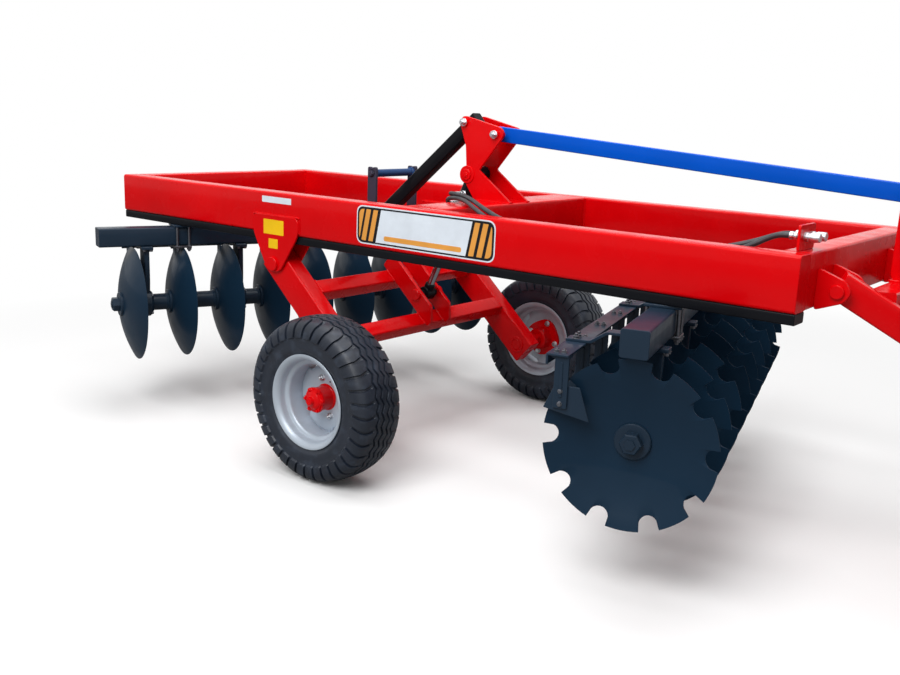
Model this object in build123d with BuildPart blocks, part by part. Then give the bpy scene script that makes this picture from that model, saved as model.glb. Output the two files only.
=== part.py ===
from build123d import *
import os
from math import atan2, cos, hypot, radians, sin, sqrt, tan

# Trailed offset disc harrow. Millimetres, +X forward, +Y to the left, +Z up, ground at Z = 0.

# Wheels
tyre_d = 760.0
tyre_w = 264.0
tyre_wall = 18.0
tyre_crown_wall = 27.0
tyre_shoulder_drop = 24.0
rim_seat_d = 388.0
rim_flange_d = 425.0
rim_flange_t = 12.0
rim_w = 236.0
bead_lip = 3.0
rim_sheet = 8.0
rim_well_depth = 22.0
rim_well_w = 120.0
rim_ramp = 15.0
wheel_plate_t = 10.0
wheel_plate_inset = 13.0
tyre_gap = 92.0
hub_d = 120.0
hub_flange_d = 250.0
hub_flange_t = 18.0
hub_inboard = 110.0
hub_outboard = 52.0
hub_cap_d = 90.0
hub_cap_length = 48.0
hub_cap_taper = 15.0
hub_cap_tip_d = 60.0
axle_d = 60.0
axle_end_gap = 6.0

# Main frame, lengths along X counted from the wheel axle
frame_rear = 1853.0
frame_front = 2000.0
beam_spread = 1308.0
beam_w = 100.0
beam_h = 200.0
beam_wall = 8.0
beam_top = 1252.0
rail_w = 90.0
rail_h = 40.0
rail_wall = 6.0
cross_w = 100.0
middle_cross_x = 285.0
middle_cross_w = 210.0
middle_cross_h = 160.0
brace_tube_x = -465.0
brace_tube_w = 100.0
brace_tube_h = 60.0
brace_tube_drop = 110.0

# Carriage pivot and carriage
pivot_behind_axle = 581.0
pivot_z = 901.0
bracket_t = 12.0
bracket_lead = 12.5
bracket_top_drop = 111.0
bracket_top_w = 325.0
bracket_knee_drop = 196.0
bracket_tip_w = 76.0
bracket_tip_below = 38.0
carriage_pin_d = 50.0
arm_w = 90.0
arm_h = 150.0
arm_wall = 8.0
arm_tail = 60.0
arm_nose = 66.0
bush_wall = 15.0
carriage_tube = 80.0
carriage_tube_wall = 6.0
upper_tube_along = 225.0
lower_tube_along = 522.0
lug_spread = 150.0
lug_t = 20.0
lug_rise = 95.0
lug_start_along = 150.0
lug_end_along = 580.0
lug_end_slant = 60.0

# Lift cylinder
barrel_pin_x = 119.0
barrel_pin_z = 1372.0
barrel_pin_d = 40.0
rod_pin_along = 415.0
rod_pin_offset = 140.0
barrel_d = 90.0
barrel_wall = 10.0
barrel_length = 430.0
barrel_cap = 20.0
barrel_neck = 30.0
barrel_eye_d = 76.0
gland_d = 104.0
gland_length = 24.0
rod_d = 40.0
rod_length = 426.0
rod_eye_d = 72.0
rod_eye_w = 60.0
rod_pin_head_d = 58.0
port_along = 110.0
port_pitch = 50.0
port_d = 28.0
port_height = 30.0

# Tower, brace, posts and tie bar
tower_spread = 160.0
tower_t = 15.0
tower_rise = 402.0
tower_eye_r = 31.0
tower_waist_rear_x = 112.0
tower_neck_x = 101.0
tower_neck_drop = 144.0
tower_boss_r = 40.0
tower_waist_x = 188.0
tower_waist_rise = 26.0
tower_bulge_x = 305.0
tower_bulge_drop = 112.0
tower_bulge_out = 16.0
tower_shoulder_x = 303.0
tower_shoulder_drop = 49.0
tower_foot_front_x = 388.0
tower_foot_rear_x = 164.0
link_pin_d = 30.0
link_pin_head = 14.0
pin_head_ratio = 1.4
brace_pin_x = 92.0
brace_pin_drop = 32.0
brace_w = 64.0
brace_wall = 6.0
brace_foot_x = -468.0
post_spread = 316.0
post_t = 16.0
post_w = 60.0
post_ahead = 25.0
post_top_z = 1374.0
post_bar_z = 1341.0
post_bar_d = 40.0
post_bar_head = 14.0
post_bar_head_d = 36.0
tie_pin_x = 278.0
tie_pin_drop = 83.0
tie_h = 70.0
tie_w = 40.0
tie_wall = 6.0
tie_end = 40.0
mast_pin_x = 2170.0
mast_pin_z = 1437.0

# Drawbar, hitch and jack
drawbar_pin_x = 2075.0
drawbar_pin_z = 1120.0
drawbar_pin_d = 36.0
drawbar_spread = 860.0
drawbar_lug_t = 16.0
drawbar_lug_h = 150.0
drawbar_lug_gap = 12.0
leg_w = 100.0
leg_wall = 8.0
leg_tail = 30.0
leg_end_back = 110.0
nose_x = 3180.0
nose_z = 520.0
nose_length = 440.0
nose_w = 140.0
nose_h = 150.0
nose_wall = 10.0
mast_tube = 100.0
mast_tube_wall = 8.0
mast_spread = 110.0
mast_t = 15.0
mast_top_r = 45.0
tongue_w = 110.0
tongue_t = 40.0
tongue_reach = 150.0
hitch_bore_d = 33.0
hitch_z = 500.0
jack_ahead_of_nose = 110.0
jack_out = 205.0
jack_pivot_z = 500.0
jack_socket_d = 90.0
jack_socket_flange = 15.0
jack_pin_d = 50.0
jack_tube_d = 76.0
jack_tube_wall = 5.0
jack_tube_low = 330.0
jack_tube_high = 860.0
jack_leg_wall = 6.0
jack_leg_high = 640.0
jack_foot = 200.0
jack_foot_t = 16.0
jack_foot_corner = 25.0
crank_d = 20.0
crank_reach = 170.0
crank_grip = 110.0
crank_rise = 40.0
crank_bend = 20.0

# Disc gangs
disc_count = 9
disc_pitch = 260.0
disc_d = 610.0
disc_t = 6.0
disc_sphere_r = 650.0
disc_flat_d = 150.0
disc_axis_z = 585.0
notch_count = 10
notch_r = 36.0
notch_centre_r = 290.0
spool_d = 90.0
spool_flange_d = 130.0
spool_flange_t = 12.0
gang_nut_d = 70.0
gang_nut_t = 40.0
front_gang_x = 1331.0
front_gang_angle = 15.0
rear_gang_x = -1150.0
rear_gang_angle = 21.5
gang_beam_w = 100.0
gang_beam_wall = 8.0
gang_beam_bottom = 900.0
gang_beam_overhang = 110.0
gang_pad_w = 140.0
gang_pad_l = 90.0
bearing_ratios = (-3.5, -1.5, 1.5, 3.5)
bearing_d = 150.0
bearing_w = 60.0
hanger_w = 110.0
hanger_t = 30.0
hanger_flange_w = 150.0
hanger_flange_t = 16.0
scraper_bar_back = 218.0
scraper_bar_w = 80.0
scraper_bar_leg = 40.0
scraper_bar_t = 8.0
scraper_bar_top = 884.0
scraper_bar_overhang = 12.0
strap_ratios = (-3.5, 0.5, 3.5)
strap_bend_ratio = 0.55
strap_land_ratio = 0.9
strap_w = 60.0
strap_t = 10.0
strap_z = 924.0
scraper_w = 50.0
scraper_t = 10.0
scraper_drop = 185.0
blade_t = 8.0
blade_gap = 8.0
blade_out = 86.0
blade_in = 80.0
blade_shoulder_out = 48.0
blade_shoulder_in = 40.0
blade_top = 80.0
blade_dip_out = 6.0
blade_dip_in = 37.0

# Hoses
hose_d = 20.0
hose_run_z = 1212.0
hose_pitch = 30.0
hose_lead = 65.0
hose_arc_ratio = 0.45
hose_run_start = 860.0
hose_ramp_run = 160.0
hose_climb_run = 100.0
hose_level_run = 90.0
upper_hose_points = (
    (130.0, -225.0, 1290.0),
    (330.0, -345.0, 1292.0),
    (520.0, -490.0, 1268.0),
    (690.0, -572.0, 1232.0),
)
lower_hose_points = (
    (120.0, -250.0, 1262.0),
    (320.0, -385.0, 1278.0),
    (500.0, -520.0, 1246.0),
    (660.0, -582.0, 1204.0),
)
clip_length = 30.0
clip_wall = 6.0
clip_after_start = 140.0
clip_before_end = 95.0
bulkhead_w = 150.0
bulkhead_h = 90.0
bulkhead_t = 10.0
bulkhead_y = -530.0
bulkhead_pitch = 60.0
coupler_z = 1300.0
coupler_d = 32.0
coupler_length = 60.0

# Running and seating clearances
pin_clearance = 0.08
seat_clearance = 0.1
bearing_clearance = 0.3
side_clearance = 5.0
jack_side_gap = 1.0

# Places worked out from the sizes above. The origin is under the middle of the whole machine.
hitch_reach = nose_x + nose_length / 2 + tongue_reach
axle_x = (frame_rear - hitch_reach) / 2
axle_z = tyre_d / 2
tyre_r = tyre_d / 2
beam_y = beam_spread / 2
beam_bottom = beam_top - beam_h
rail_bottom = beam_bottom - rail_h
beam_in = beam_y - beam_w / 2
beam_out = beam_y + beam_w / 2
brace_tube_top = beam_top - brace_tube_drop
tower_top_z = beam_top + tower_rise
brace_pin_z = tower_top_z - brace_pin_drop
tie_pin_z = tower_top_z - tie_pin_drop
arm_in = beam_in + side_clearance
arm_out = arm_in + arm_w
wheel_y = arm_out + tyre_gap + tyre_w / 2
pivot_x = axle_x - pivot_behind_axle
arm_fall = atan2(pivot_z - axle_z, pivot_behind_axle)
arm_length = hypot(pivot_behind_axle, pivot_z - axle_z)
arm_top = arm_h / 2
arm_plane = Plane(
    origin=(pivot_x, 0, pivot_z),
    x_dir=(cos(arm_fall), 0, -sin(arm_fall)),
    z_dir=(0, -1, 0),
)
lug_top = arm_top + lug_rise


def arm_point(along, offset):
    """World (X, Z) of a point on the carriage, along the arm from the pivot and square to it."""
    return (
        pivot_x + along * cos(arm_fall) + offset * sin(arm_fall),
        pivot_z - along * sin(arm_fall) + offset * cos(arm_fall),
    )


barrel_pin = Vector(axle_x + barrel_pin_x, 0, barrel_pin_z)
rod_pin_xz = arm_point(rod_pin_along, rod_pin_offset)
rod_pin = Vector(rod_pin_xz[0], 0, rod_pin_xz[1])
cylinder_dir = (rod_pin - barrel_pin).normalized()
cylinder_plane = Plane(origin=barrel_pin, x_dir=cylinder_dir, z_dir=(0, -1, 0))
cylinder_axis = Axis(barrel_pin, cylinder_dir)


def side_plane(y):
    """Sketch plane of (X, Z) at a given Y; a positive extrusion goes towards -Y."""
    return Plane.XZ.offset(-y)


def write(piece, name):
    """Label a finished piece and write it as one file."""
    piece.part.label = name
    export_step(piece.part, f"parts/{name}.step")


os.makedirs("parts", exist_ok=True)


# Main frame: side beams, rails, cross beams

for beam_name, side in (("right_beam", -1), ("left_beam", 1)):
    with BuildPart() as beam:
        with BuildSketch(Plane.YZ.offset(axle_x - frame_rear)):
            with Locations((side * beam_y, beam_top - beam_h / 2)):
                Rectangle(beam_w, beam_h)
                Rectangle(beam_w - 2 * beam_wall, beam_h - 2 * beam_wall, mode=Mode.SUBTRACT)
        extrude(amount=frame_rear + frame_front)
    write(beam, beam_name)

with BuildPart() as under_rails:
    with BuildSketch(Plane.YZ.offset(axle_x - frame_rear)):
        with Locations((-beam_y, beam_bottom - rail_h / 2), (beam_y, beam_bottom - rail_h / 2)):
            Rectangle(rail_w, rail_h)
            Rectangle(rail_w - 2 * rail_wall, rail_h - 2 * rail_wall, mode=Mode.SUBTRACT)
    extrude(amount=frame_rear + frame_front)
write(under_rails, "under_rails")

front_cross_x = frame_front - cross_w / 2
rear_cross_x = cross_w / 2 - frame_rear
bracket_in = beam_in - bracket_t
for member_name, centre_x, width, top, height, wall, reach in (
    ("front_cross_beam", front_cross_x, cross_w, beam_top, beam_h, beam_wall, beam_in),
    ("middle_cross_beam", middle_cross_x, middle_cross_w, beam_top, middle_cross_h, beam_wall, beam_in),
    ("rear_cross_beam", rear_cross_x, cross_w, beam_top, beam_h, beam_wall, beam_in),
    ("brace_cross_tube", brace_tube_x, brace_tube_w, brace_tube_top, brace_tube_h, brace_wall, bracket_in),
):
    with BuildPart() as member:
        with BuildSketch(side_plane(0)):
            with Locations((axle_x + centre_x, top - height / 2)):
                Rectangle(width, height)
                Rectangle(width - 2 * wall, height - 2 * wall, mode=Mode.SUBTRACT)
        extrude(amount=reach, both=True)
    write(member, member_name)


# Pivot plates on both faces of both side beams

with BuildPart() as pivot_brackets:
    half_top = bracket_top_w / 2
    half_tip = bracket_tip_w / 2
    plate_lead = pivot_x + bracket_lead
    for plate_y in (beam_out + bracket_t, beam_in, -beam_in + bracket_t, -beam_out):
        with BuildSketch(side_plane(plate_y)):
            with BuildLine():
                Polyline(
                    (plate_lead - half_top, beam_top - bracket_top_drop),
                    (plate_lead + half_top, beam_top - bracket_top_drop),
                    (plate_lead + half_top, beam_top - bracket_knee_drop),
                    (pivot_x + half_tip, pivot_z - bracket_tip_below),
                    (pivot_x - half_tip, pivot_z - bracket_tip_below),
                    (plate_lead - half_top, beam_top - bracket_knee_drop),
                    close=True,
                )
            make_face()
            with Locations((pivot_x, pivot_z)):
                Circle(carriage_pin_d / 2 + seat_clearance, mode=Mode.SUBTRACT)
        extrude(amount=bracket_t)
write(pivot_brackets, "pivot_brackets")


# Tower on the middle cross beam: two plates with a waist above their feet

tower_waist_z = barrel_pin_z + tower_waist_rise
tower_bulge_z = tower_top_z - tower_bulge_drop
tower_shoulder_z = tower_top_z - tower_shoulder_drop
tower_arc_x = (tower_bulge_x + tower_shoulder_x) / 2 + tower_bulge_out
tower_arc_z = (tower_bulge_z + tower_shoulder_z) / 2
with BuildPart() as tower_plates:
    for plate_y in (tower_spread / 2, tower_t - tower_spread / 2):
        with BuildSketch(side_plane(plate_y)):
            with BuildLine():
                Polyline(
                    (axle_x + tower_foot_rear_x, beam_top),
                    (axle_x + tower_foot_front_x, beam_top),
                    (axle_x + tower_waist_x, tower_waist_z),
                    (axle_x + tower_bulge_x, tower_bulge_z),
                )
                ThreePointArc(
                    (axle_x + tower_bulge_x, tower_bulge_z),
                    (axle_x + tower_arc_x, tower_arc_z),
                    (axle_x + tower_shoulder_x, tower_shoulder_z),
                )
                Polyline(
                    (axle_x + tower_shoulder_x, tower_shoulder_z),
                    (axle_x + brace_pin_x, brace_pin_z + tower_eye_r),
                    (axle_x + brace_pin_x - tower_eye_r, brace_pin_z),
                    (axle_x + tower_neck_x, tower_top_z - tower_neck_drop),
                    (axle_x + tower_waist_rear_x, barrel_pin_z),
                    (axle_x + barrel_pin_x - tower_boss_r, barrel_pin_z),
                    (axle_x + tower_foot_rear_x, beam_top),
                )
            make_face()
            with Locations((axle_x + brace_pin_x, brace_pin_z)):
                Circle(tower_eye_r)
            with Locations((axle_x + barrel_pin_x, barrel_pin_z)):
                Circle(tower_boss_r)
                Circle(barrel_pin_d / 2 + seat_clearance, mode=Mode.SUBTRACT)
            with Locations((axle_x + brace_pin_x, brace_pin_z), (axle_x + tie_pin_x, tie_pin_z)):
                Circle(link_pin_d / 2 + seat_clearance, mode=Mode.SUBTRACT)
        extrude(amount=tower_t)
write(tower_plates, "tower_plates")


# Brace tube from the tower's top pin down to the brace cross tube

brace_top = Vector(axle_x + brace_pin_x, 0, brace_pin_z)
brace_foot = Vector(axle_x + brace_foot_x, 0, brace_tube_top)
brace_dir = (brace_foot - brace_top).normalized()
brace_reach = (brace_foot - brace_top).length + brace_w
with BuildPart() as brace:
    with BuildSketch(Plane(origin=brace_top - brace_dir * (brace_w / 2), x_dir=(0, 1, 0), z_dir=brace_dir)):
        Rectangle(brace_w, brace_w)
        Rectangle(brace_w - 2 * brace_wall, brace_w - 2 * brace_wall, mode=Mode.SUBTRACT)
    extrude(amount=brace_reach + brace_w / 2)
    split(bisect_by=Plane.XY.offset(brace_tube_top), keep=Keep.TOP)
    with BuildSketch(side_plane(0)):
        with Locations((brace_top.X, brace_top.Z)):
            Circle(link_pin_d / 2 + seat_clearance)
    extrude(amount=brace_w, both=True, mode=Mode.SUBTRACT)
write(brace, "brace")


# Two posts on the brace cross tube with a bar between them

post_x = axle_x + brace_tube_x + post_ahead
with BuildPart() as rest_posts:
    for post_y in (post_spread / 2 + post_t / 2, post_t / 2 - post_spread / 2):
        with BuildSketch(side_plane(post_y)):
            with Locations((post_x, (brace_tube_top + post_top_z) / 2)):
                Rectangle(post_w, post_top_z - brace_tube_top)
            with Locations((post_x, post_bar_z)):
                Circle(post_bar_d / 2 + seat_clearance, mode=Mode.SUBTRACT)
        extrude(amount=post_t)
write(rest_posts, "rest_posts")

with BuildPart() as rest_bar:
    bar_half = post_spread / 2 + post_t / 2
    for start_y, radius, length in (
        (bar_half, post_bar_d / 2, 2 * bar_half),
        (bar_half + post_bar_head, post_bar_head_d / 2, post_bar_head),
        (-bar_half, post_bar_head_d / 2, post_bar_head),
    ):
        with BuildSketch(side_plane(start_y)):
            with Locations((post_x, post_bar_z)):
                Circle(radius)
        extrude(amount=length)
write(rest_bar, "rest_bar")


# Tie bar from the tower forward to the mast

tie_rear = Vector(axle_x + tie_pin_x, 0, tie_pin_z)
tie_front = Vector(axle_x + mast_pin_x, 0, mast_pin_z)
tie_dir = (tie_front - tie_rear).normalized()
tie_length = (tie_front - tie_rear).length
with BuildPart() as tie_bar:
    with BuildSketch(Plane(origin=tie_rear - tie_dir * tie_end, x_dir=(0, 1, 0), z_dir=tie_dir)):
        Rectangle(tie_w, tie_h)
        Rectangle(tie_w - 2 * tie_wall, tie_h - 2 * tie_wall, mode=Mode.SUBTRACT)
    extrude(amount=tie_length + 2 * tie_end)
    with BuildSketch(side_plane(0)):
        with Locations((tie_rear.X, tie_rear.Z), (tie_front.X, tie_front.Z)):
            Circle(link_pin_d / 2 + seat_clearance)
    extrude(amount=tie_w, both=True, mode=Mode.SUBTRACT)
write(tie_bar, "tie_bar")


# Drawbar: lugs on the front cross beam, two legs, nose, mast and hitch tongue

drawbar_pin_y = drawbar_spread / 2
leg_start = Vector(axle_x + drawbar_pin_x, drawbar_pin_y, drawbar_pin_z)
leg_end = Vector(axle_x + nose_x - leg_end_back, nose_w / 2, nose_z)
leg_dir = (leg_end - leg_start).normalized()
leg_slope = (leg_end.Z - leg_start.Z) / (leg_end.X - leg_start.X)
leg_splay = (leg_end.Y - leg_start.Y) / (leg_end.X - leg_start.X)
leg_half_across = leg_w / 2 * sqrt(1 + leg_splay * leg_splay)
lug_inner = leg_half_across + leg_tail * abs(leg_splay) + drawbar_lug_gap

with BuildPart() as drawbar_legs:
    leg_across = Vector(0, 0, 1).cross(leg_dir).normalized()
    with BuildSketch(Plane(origin=leg_start - leg_dir * leg_tail, x_dir=leg_across, z_dir=leg_dir)):
        Rectangle(leg_w, leg_w)
        Rectangle(leg_w - 2 * leg_wall, leg_w - 2 * leg_wall, mode=Mode.SUBTRACT)
    extrude(amount=(leg_end - leg_start).length + leg_tail + nose_length)
    split(bisect_by=Plane.XZ.offset(-nose_w / 2), keep=Keep.BOTTOM)
    with BuildSketch(side_plane(drawbar_pin_y)):
        with Locations((leg_start.X, leg_start.Z)):
            Circle(drawbar_pin_d / 2 + seat_clearance)
    extrude(amount=lug_inner, both=True, mode=Mode.SUBTRACT)
    mirror(about=Plane.XZ)
write(drawbar_legs, "drawbar_legs")

lug_face = axle_x + frame_front
lug_half = drawbar_lug_h / 2
lug_round = drawbar_pin_d
with BuildPart() as drawbar_lugs:
    for leg_y in (-drawbar_pin_y, drawbar_pin_y):
        for lug_y in (leg_y + lug_inner + drawbar_lug_t, leg_y - lug_inner):
            with BuildSketch(side_plane(lug_y)):
                with BuildLine():
                    Polyline(
                        (leg_start.X, leg_start.Z + lug_round),
                        (lug_face, leg_start.Z + lug_half),
                        (lug_face, leg_start.Z - lug_half),
                        (leg_start.X, leg_start.Z - lug_round),
                    )
                    ThreePointArc(
                        (leg_start.X, leg_start.Z - lug_round),
                        (leg_start.X + lug_round, leg_start.Z),
                        (leg_start.X, leg_start.Z + lug_round),
                    )
                make_face()
                with Locations((leg_start.X, leg_start.Z)):
                    Circle(drawbar_pin_d / 2 + seat_clearance, mode=Mode.SUBTRACT)
            extrude(amount=drawbar_lug_t)
write(drawbar_lugs, "drawbar_lugs")

mast_tube_x = axle_x + mast_pin_x
mast_tube_z = leg_start.Z + leg_slope * (mast_tube_x - leg_start.X)
mast_tube_half = leg_start.Y + leg_splay * (mast_tube_x - leg_start.X) - leg_half_across
with BuildPart() as drawbar_cross_tube:
    with BuildSketch(side_plane(0)):
        with Locations((mast_tube_x, mast_tube_z)):
            Rectangle(mast_tube, mast_tube)
            Rectangle(mast_tube - 2 * mast_tube_wall, mast_tube - 2 * mast_tube_wall, mode=Mode.SUBTRACT)
    extrude(amount=drawbar_pin_y, both=True)
    inner_face_point = Vector(mast_tube_x, mast_tube_half, mast_tube_z)
    split(bisect_by=Plane(origin=inner_face_point, z_dir=leg_across), keep=Keep.BOTTOM)
    mirrored_point = Vector(mast_tube_x, -mast_tube_half, mast_tube_z)
    mirrored_across = Vector(leg_across.X, -leg_across.Y, leg_across.Z)
    split(bisect_by=Plane(origin=mirrored_point, z_dir=mirrored_across), keep=Keep.BOTTOM)
write(drawbar_cross_tube, "drawbar_cross_tube")

mast_foot_z = mast_tube_z + mast_tube / 2
with BuildPart() as mast:
    for plate_y in (mast_spread / 2, mast_t - mast_spread / 2):
        with BuildSketch(side_plane(plate_y)):
            with BuildLine():
                Polyline(
                    (mast_tube_x - mast_top_r, mast_pin_z),
                    (mast_tube_x - mast_tube / 2, mast_foot_z),
                    (mast_tube_x + mast_tube / 2, mast_foot_z),
                    (mast_tube_x + mast_top_r, mast_pin_z),
                )
                ThreePointArc(
                    (mast_tube_x + mast_top_r, mast_pin_z),
                    (mast_tube_x, mast_pin_z + mast_top_r),
                    (mast_tube_x - mast_top_r, mast_pin_z),
                )
            make_face()
            with Locations((mast_tube_x, mast_pin_z)):
                Circle(link_pin_d / 2 + seat_clearance, mode=Mode.SUBTRACT)
        extrude(amount=mast_t)
write(mast, "mast")

nose_front = axle_x + nose_x + nose_length / 2
with BuildPart() as drawbar_nose:
    with BuildSketch(Plane.YZ.offset(nose_front - nose_length)):
        with Locations((0, nose_z)):
            Rectangle(nose_w, nose_h)
            Rectangle(nose_w - 2 * nose_wall, nose_h - 2 * nose_wall, mode=Mode.SUBTRACT)
    extrude(amount=nose_length)
write(drawbar_nose, "drawbar_nose")

with BuildPart() as hitch_tongue:
    with BuildSketch(Plane.YZ.offset(nose_front)):
        with Locations((0, nose_z)):
            Rectangle(nose_w, nose_h)
    extrude(amount=nose_wall)
    with BuildSketch(Plane.XY.offset(hitch_z - tongue_t / 2)):
        tongue_eye_x = nose_front + tongue_reach - tongue_w / 2
        with BuildLine():
            Polyline(
                (tongue_eye_x, tongue_w / 2),
                (nose_front, tongue_w / 2),
                (nose_front, -tongue_w / 2),
                (tongue_eye_x, -tongue_w / 2),
            )
            ThreePointArc(
                (tongue_eye_x, -tongue_w / 2),
                (nose_front + tongue_reach, 0),
                (tongue_eye_x, tongue_w / 2),
            )
        make_face()
        with Locations((tongue_eye_x, 0)):
            Circle(hitch_bore_d / 2, mode=Mode.SUBTRACT)
    extrude(amount=tongue_t)
write(hitch_tongue, "hitch_tongue")


# Pins that stay with the frame

bracket_half = beam_w / 2 + bracket_t
drawbar_pin_half = lug_inner + drawbar_lug_t
with BuildPart() as frame_pins:
    for x, centre_y, z, radius, half_length in (
        (barrel_pin.X, 0, barrel_pin.Z, barrel_pin_d / 2, tower_spread / 2),
        (brace_top.X, 0, brace_top.Z, link_pin_d / 2, tower_spread / 2),
        (tie_rear.X, 0, tie_rear.Z, link_pin_d / 2, tower_spread / 2),
        (tie_front.X, 0, tie_front.Z, link_pin_d / 2, mast_spread / 2),
        (pivot_x, beam_y, pivot_z, carriage_pin_d / 2, bracket_half),
        (pivot_x, -beam_y, pivot_z, carriage_pin_d / 2, bracket_half),
        (leg_start.X, drawbar_pin_y, leg_start.Z, drawbar_pin_d / 2, drawbar_pin_half),
        (leg_start.X, -drawbar_pin_y, leg_start.Z, drawbar_pin_d / 2, drawbar_pin_half),
    ):
        for start_y, part_radius, length in (
            (half_length, radius, 2 * half_length),
            (half_length + link_pin_head, radius * pin_head_ratio, link_pin_head),
            (-half_length, radius * pin_head_ratio, link_pin_head),
        ):
            with BuildSketch(side_plane(centre_y + start_y)):
                with Locations((x, z)):
                    Circle(part_radius)
            extrude(amount=length)
write(frame_pins, "frame_pins")


# Carriage: two arms, two cross tubes, cylinder lugs, stub axles

axle_y_end = wheel_y + hub_outboard
with BuildPart() as carriage_arms:
    arm_middle = arm_plane.offset(-(arm_in + arm_out) / 2)
    with BuildSketch(arm_middle):
        with Locations(((arm_length + arm_nose - arm_tail) / 2, 0)):
            Rectangle(arm_length + arm_nose + arm_tail, arm_h)
    extrude(amount=arm_w / 2, both=True)
    with BuildSketch(arm_middle):
        with Locations(((arm_length + arm_nose - arm_tail) / 2, 0)):
            Rectangle(arm_length + arm_nose + arm_tail, arm_h - 2 * arm_wall)
    extrude(amount=arm_w / 2 - arm_wall, both=True, mode=Mode.SUBTRACT)
    with BuildSketch(arm_middle):
        Circle(carriage_pin_d / 2 + bush_wall)
        with Locations((arm_length, 0)):
            Circle(axle_d / 2 + bush_wall)
    extrude(amount=arm_w / 2, both=True)
    with BuildSketch(arm_middle):
        Circle(carriage_pin_d / 2 + pin_clearance)
        with Locations((arm_length, 0)):
            Circle(axle_d / 2 + seat_clearance)
    extrude(amount=arm_w, both=True, mode=Mode.SUBTRACT)
    mirror(about=Plane.XZ)
write(carriage_arms, "carriage_arms")

with BuildPart() as carriage_tubes:
    with BuildSketch(arm_plane):
        tube_offset = arm_top - carriage_tube / 2
        with Locations((upper_tube_along, tube_offset), (lower_tube_along, tube_offset)):
            Rectangle(carriage_tube, carriage_tube)
            Rectangle(
                carriage_tube - 2 * carriage_tube_wall,
                carriage_tube - 2 * carriage_tube_wall,
                mode=Mode.SUBTRACT,
            )
    extrude(amount=arm_in, both=True)
write(carriage_tubes, "carriage_tubes")

with BuildPart() as cylinder_lugs:
    for lug_y in (lug_spread / 2, -lug_spread / 2):
        lug_plane = arm_plane.offset(-lug_y)
        with BuildSketch(lug_plane):
            with BuildLine():
                Polyline(
                    (lug_start_along, arm_top),
                    (lug_end_along, arm_top),
                    (lug_end_along, lug_top - lug_end_slant),
                    (lug_end_along - lug_end_slant, lug_top),
                    (lug_start_along, lug_top),
                    close=True,
                )
            make_face()
        extrude(amount=lug_t / 2, both=True)
    for head_y in (lug_spread / 2 + lug_t / 2 + link_pin_head, -lug_spread / 2 - lug_t / 2):
        with BuildSketch(arm_plane.offset(-head_y)):
            with Locations((rod_pin_along, rod_pin_offset)):
                Circle(rod_pin_head_d / 2)
        extrude(amount=link_pin_head)
write(cylinder_lugs, "cylinder_lugs")

with BuildPart() as stub_axles:
    for side in (-1, 1):
        start_y = min(side * (arm_in - axle_end_gap), side * axle_y_end)
        axle_length = axle_y_end - arm_in + axle_end_gap
        with BuildSketch(side_plane(start_y + axle_length)):
            with Locations((axle_x, axle_z)):
                Circle(axle_d / 2)
        extrude(amount=axle_length)
write(stub_axles, "stub_axles")


# Lift cylinder: barrel with its eye and ports, rod with its eye

lug_in = lug_spread / 2 - lug_t / 2
tower_in = tower_spread / 2 - tower_t
with BuildPart() as cylinder_barrel:
    with BuildSketch(cylinder_plane):
        with BuildLine():
            Polyline(
                (barrel_neck, 0),
                (barrel_neck, barrel_d / 2),
                (barrel_length - gland_length, barrel_d / 2),
                (barrel_length - gland_length, gland_d / 2),
                (barrel_length, gland_d / 2),
                (barrel_length, rod_d / 2 + pin_clearance),
                (barrel_length - gland_length, rod_d / 2 + pin_clearance),
                (barrel_length - gland_length, barrel_d / 2 - barrel_wall),
                (barrel_neck + barrel_cap, barrel_d / 2 - barrel_wall),
                (barrel_neck + barrel_cap, 0),
                close=True,
            )
        make_face()
    revolve(axis=cylinder_axis)
    with BuildSketch(cylinder_plane):
        Circle(barrel_eye_d / 2)
    extrude(amount=tower_in - side_clearance, both=True)
    with BuildSketch(cylinder_plane):
        Circle(barrel_pin_d / 2 + pin_clearance)
    extrude(amount=tower_in, both=True, mode=Mode.SUBTRACT)
    for port in range(2):
        port_seat = barrel_pin + cylinder_dir * (port_along + port * port_pitch)
        with BuildSketch(Plane.XZ.offset(barrel_d / 2 - barrel_wall / 2)):
            with Locations((port_seat.X, port_seat.Z)):
                Circle(port_d / 2)
        extrude(amount=port_height + barrel_wall / 2)
write(cylinder_barrel, "cylinder_barrel")

with BuildPart() as cylinder_rod:
    with BuildSketch(Plane(origin=rod_pin - cylinder_dir * rod_length, x_dir=(0, 1, 0), z_dir=cylinder_dir)):
        Circle(rod_d / 2)
    extrude(amount=rod_length)
    rod_eye_plane = Plane(origin=rod_pin, x_dir=cylinder_dir, z_dir=(0, -1, 0))
    with BuildSketch(rod_eye_plane):
        Circle(rod_eye_d / 2)
    extrude(amount=rod_eye_w / 2, both=True)
    with BuildSketch(rod_eye_plane):
        Circle(rod_d / 2)
    extrude(amount=lug_in - side_clearance, both=True)
write(cylinder_rod, "cylinder_rod")


# Wheels: tyre, rim with its dished plate, hub with its cap

seat_r = rim_seat_d / 2
flange_r = rim_flange_d / 2
bead_half = rim_w / 2 - rim_flange_t
well_half = rim_well_w / 2
well_r = seat_r - rim_well_depth
plate_out = -wheel_plate_inset
plate_in = plate_out - wheel_plate_t
hub_bore_end = hub_outboard + axle_end_gap

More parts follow.
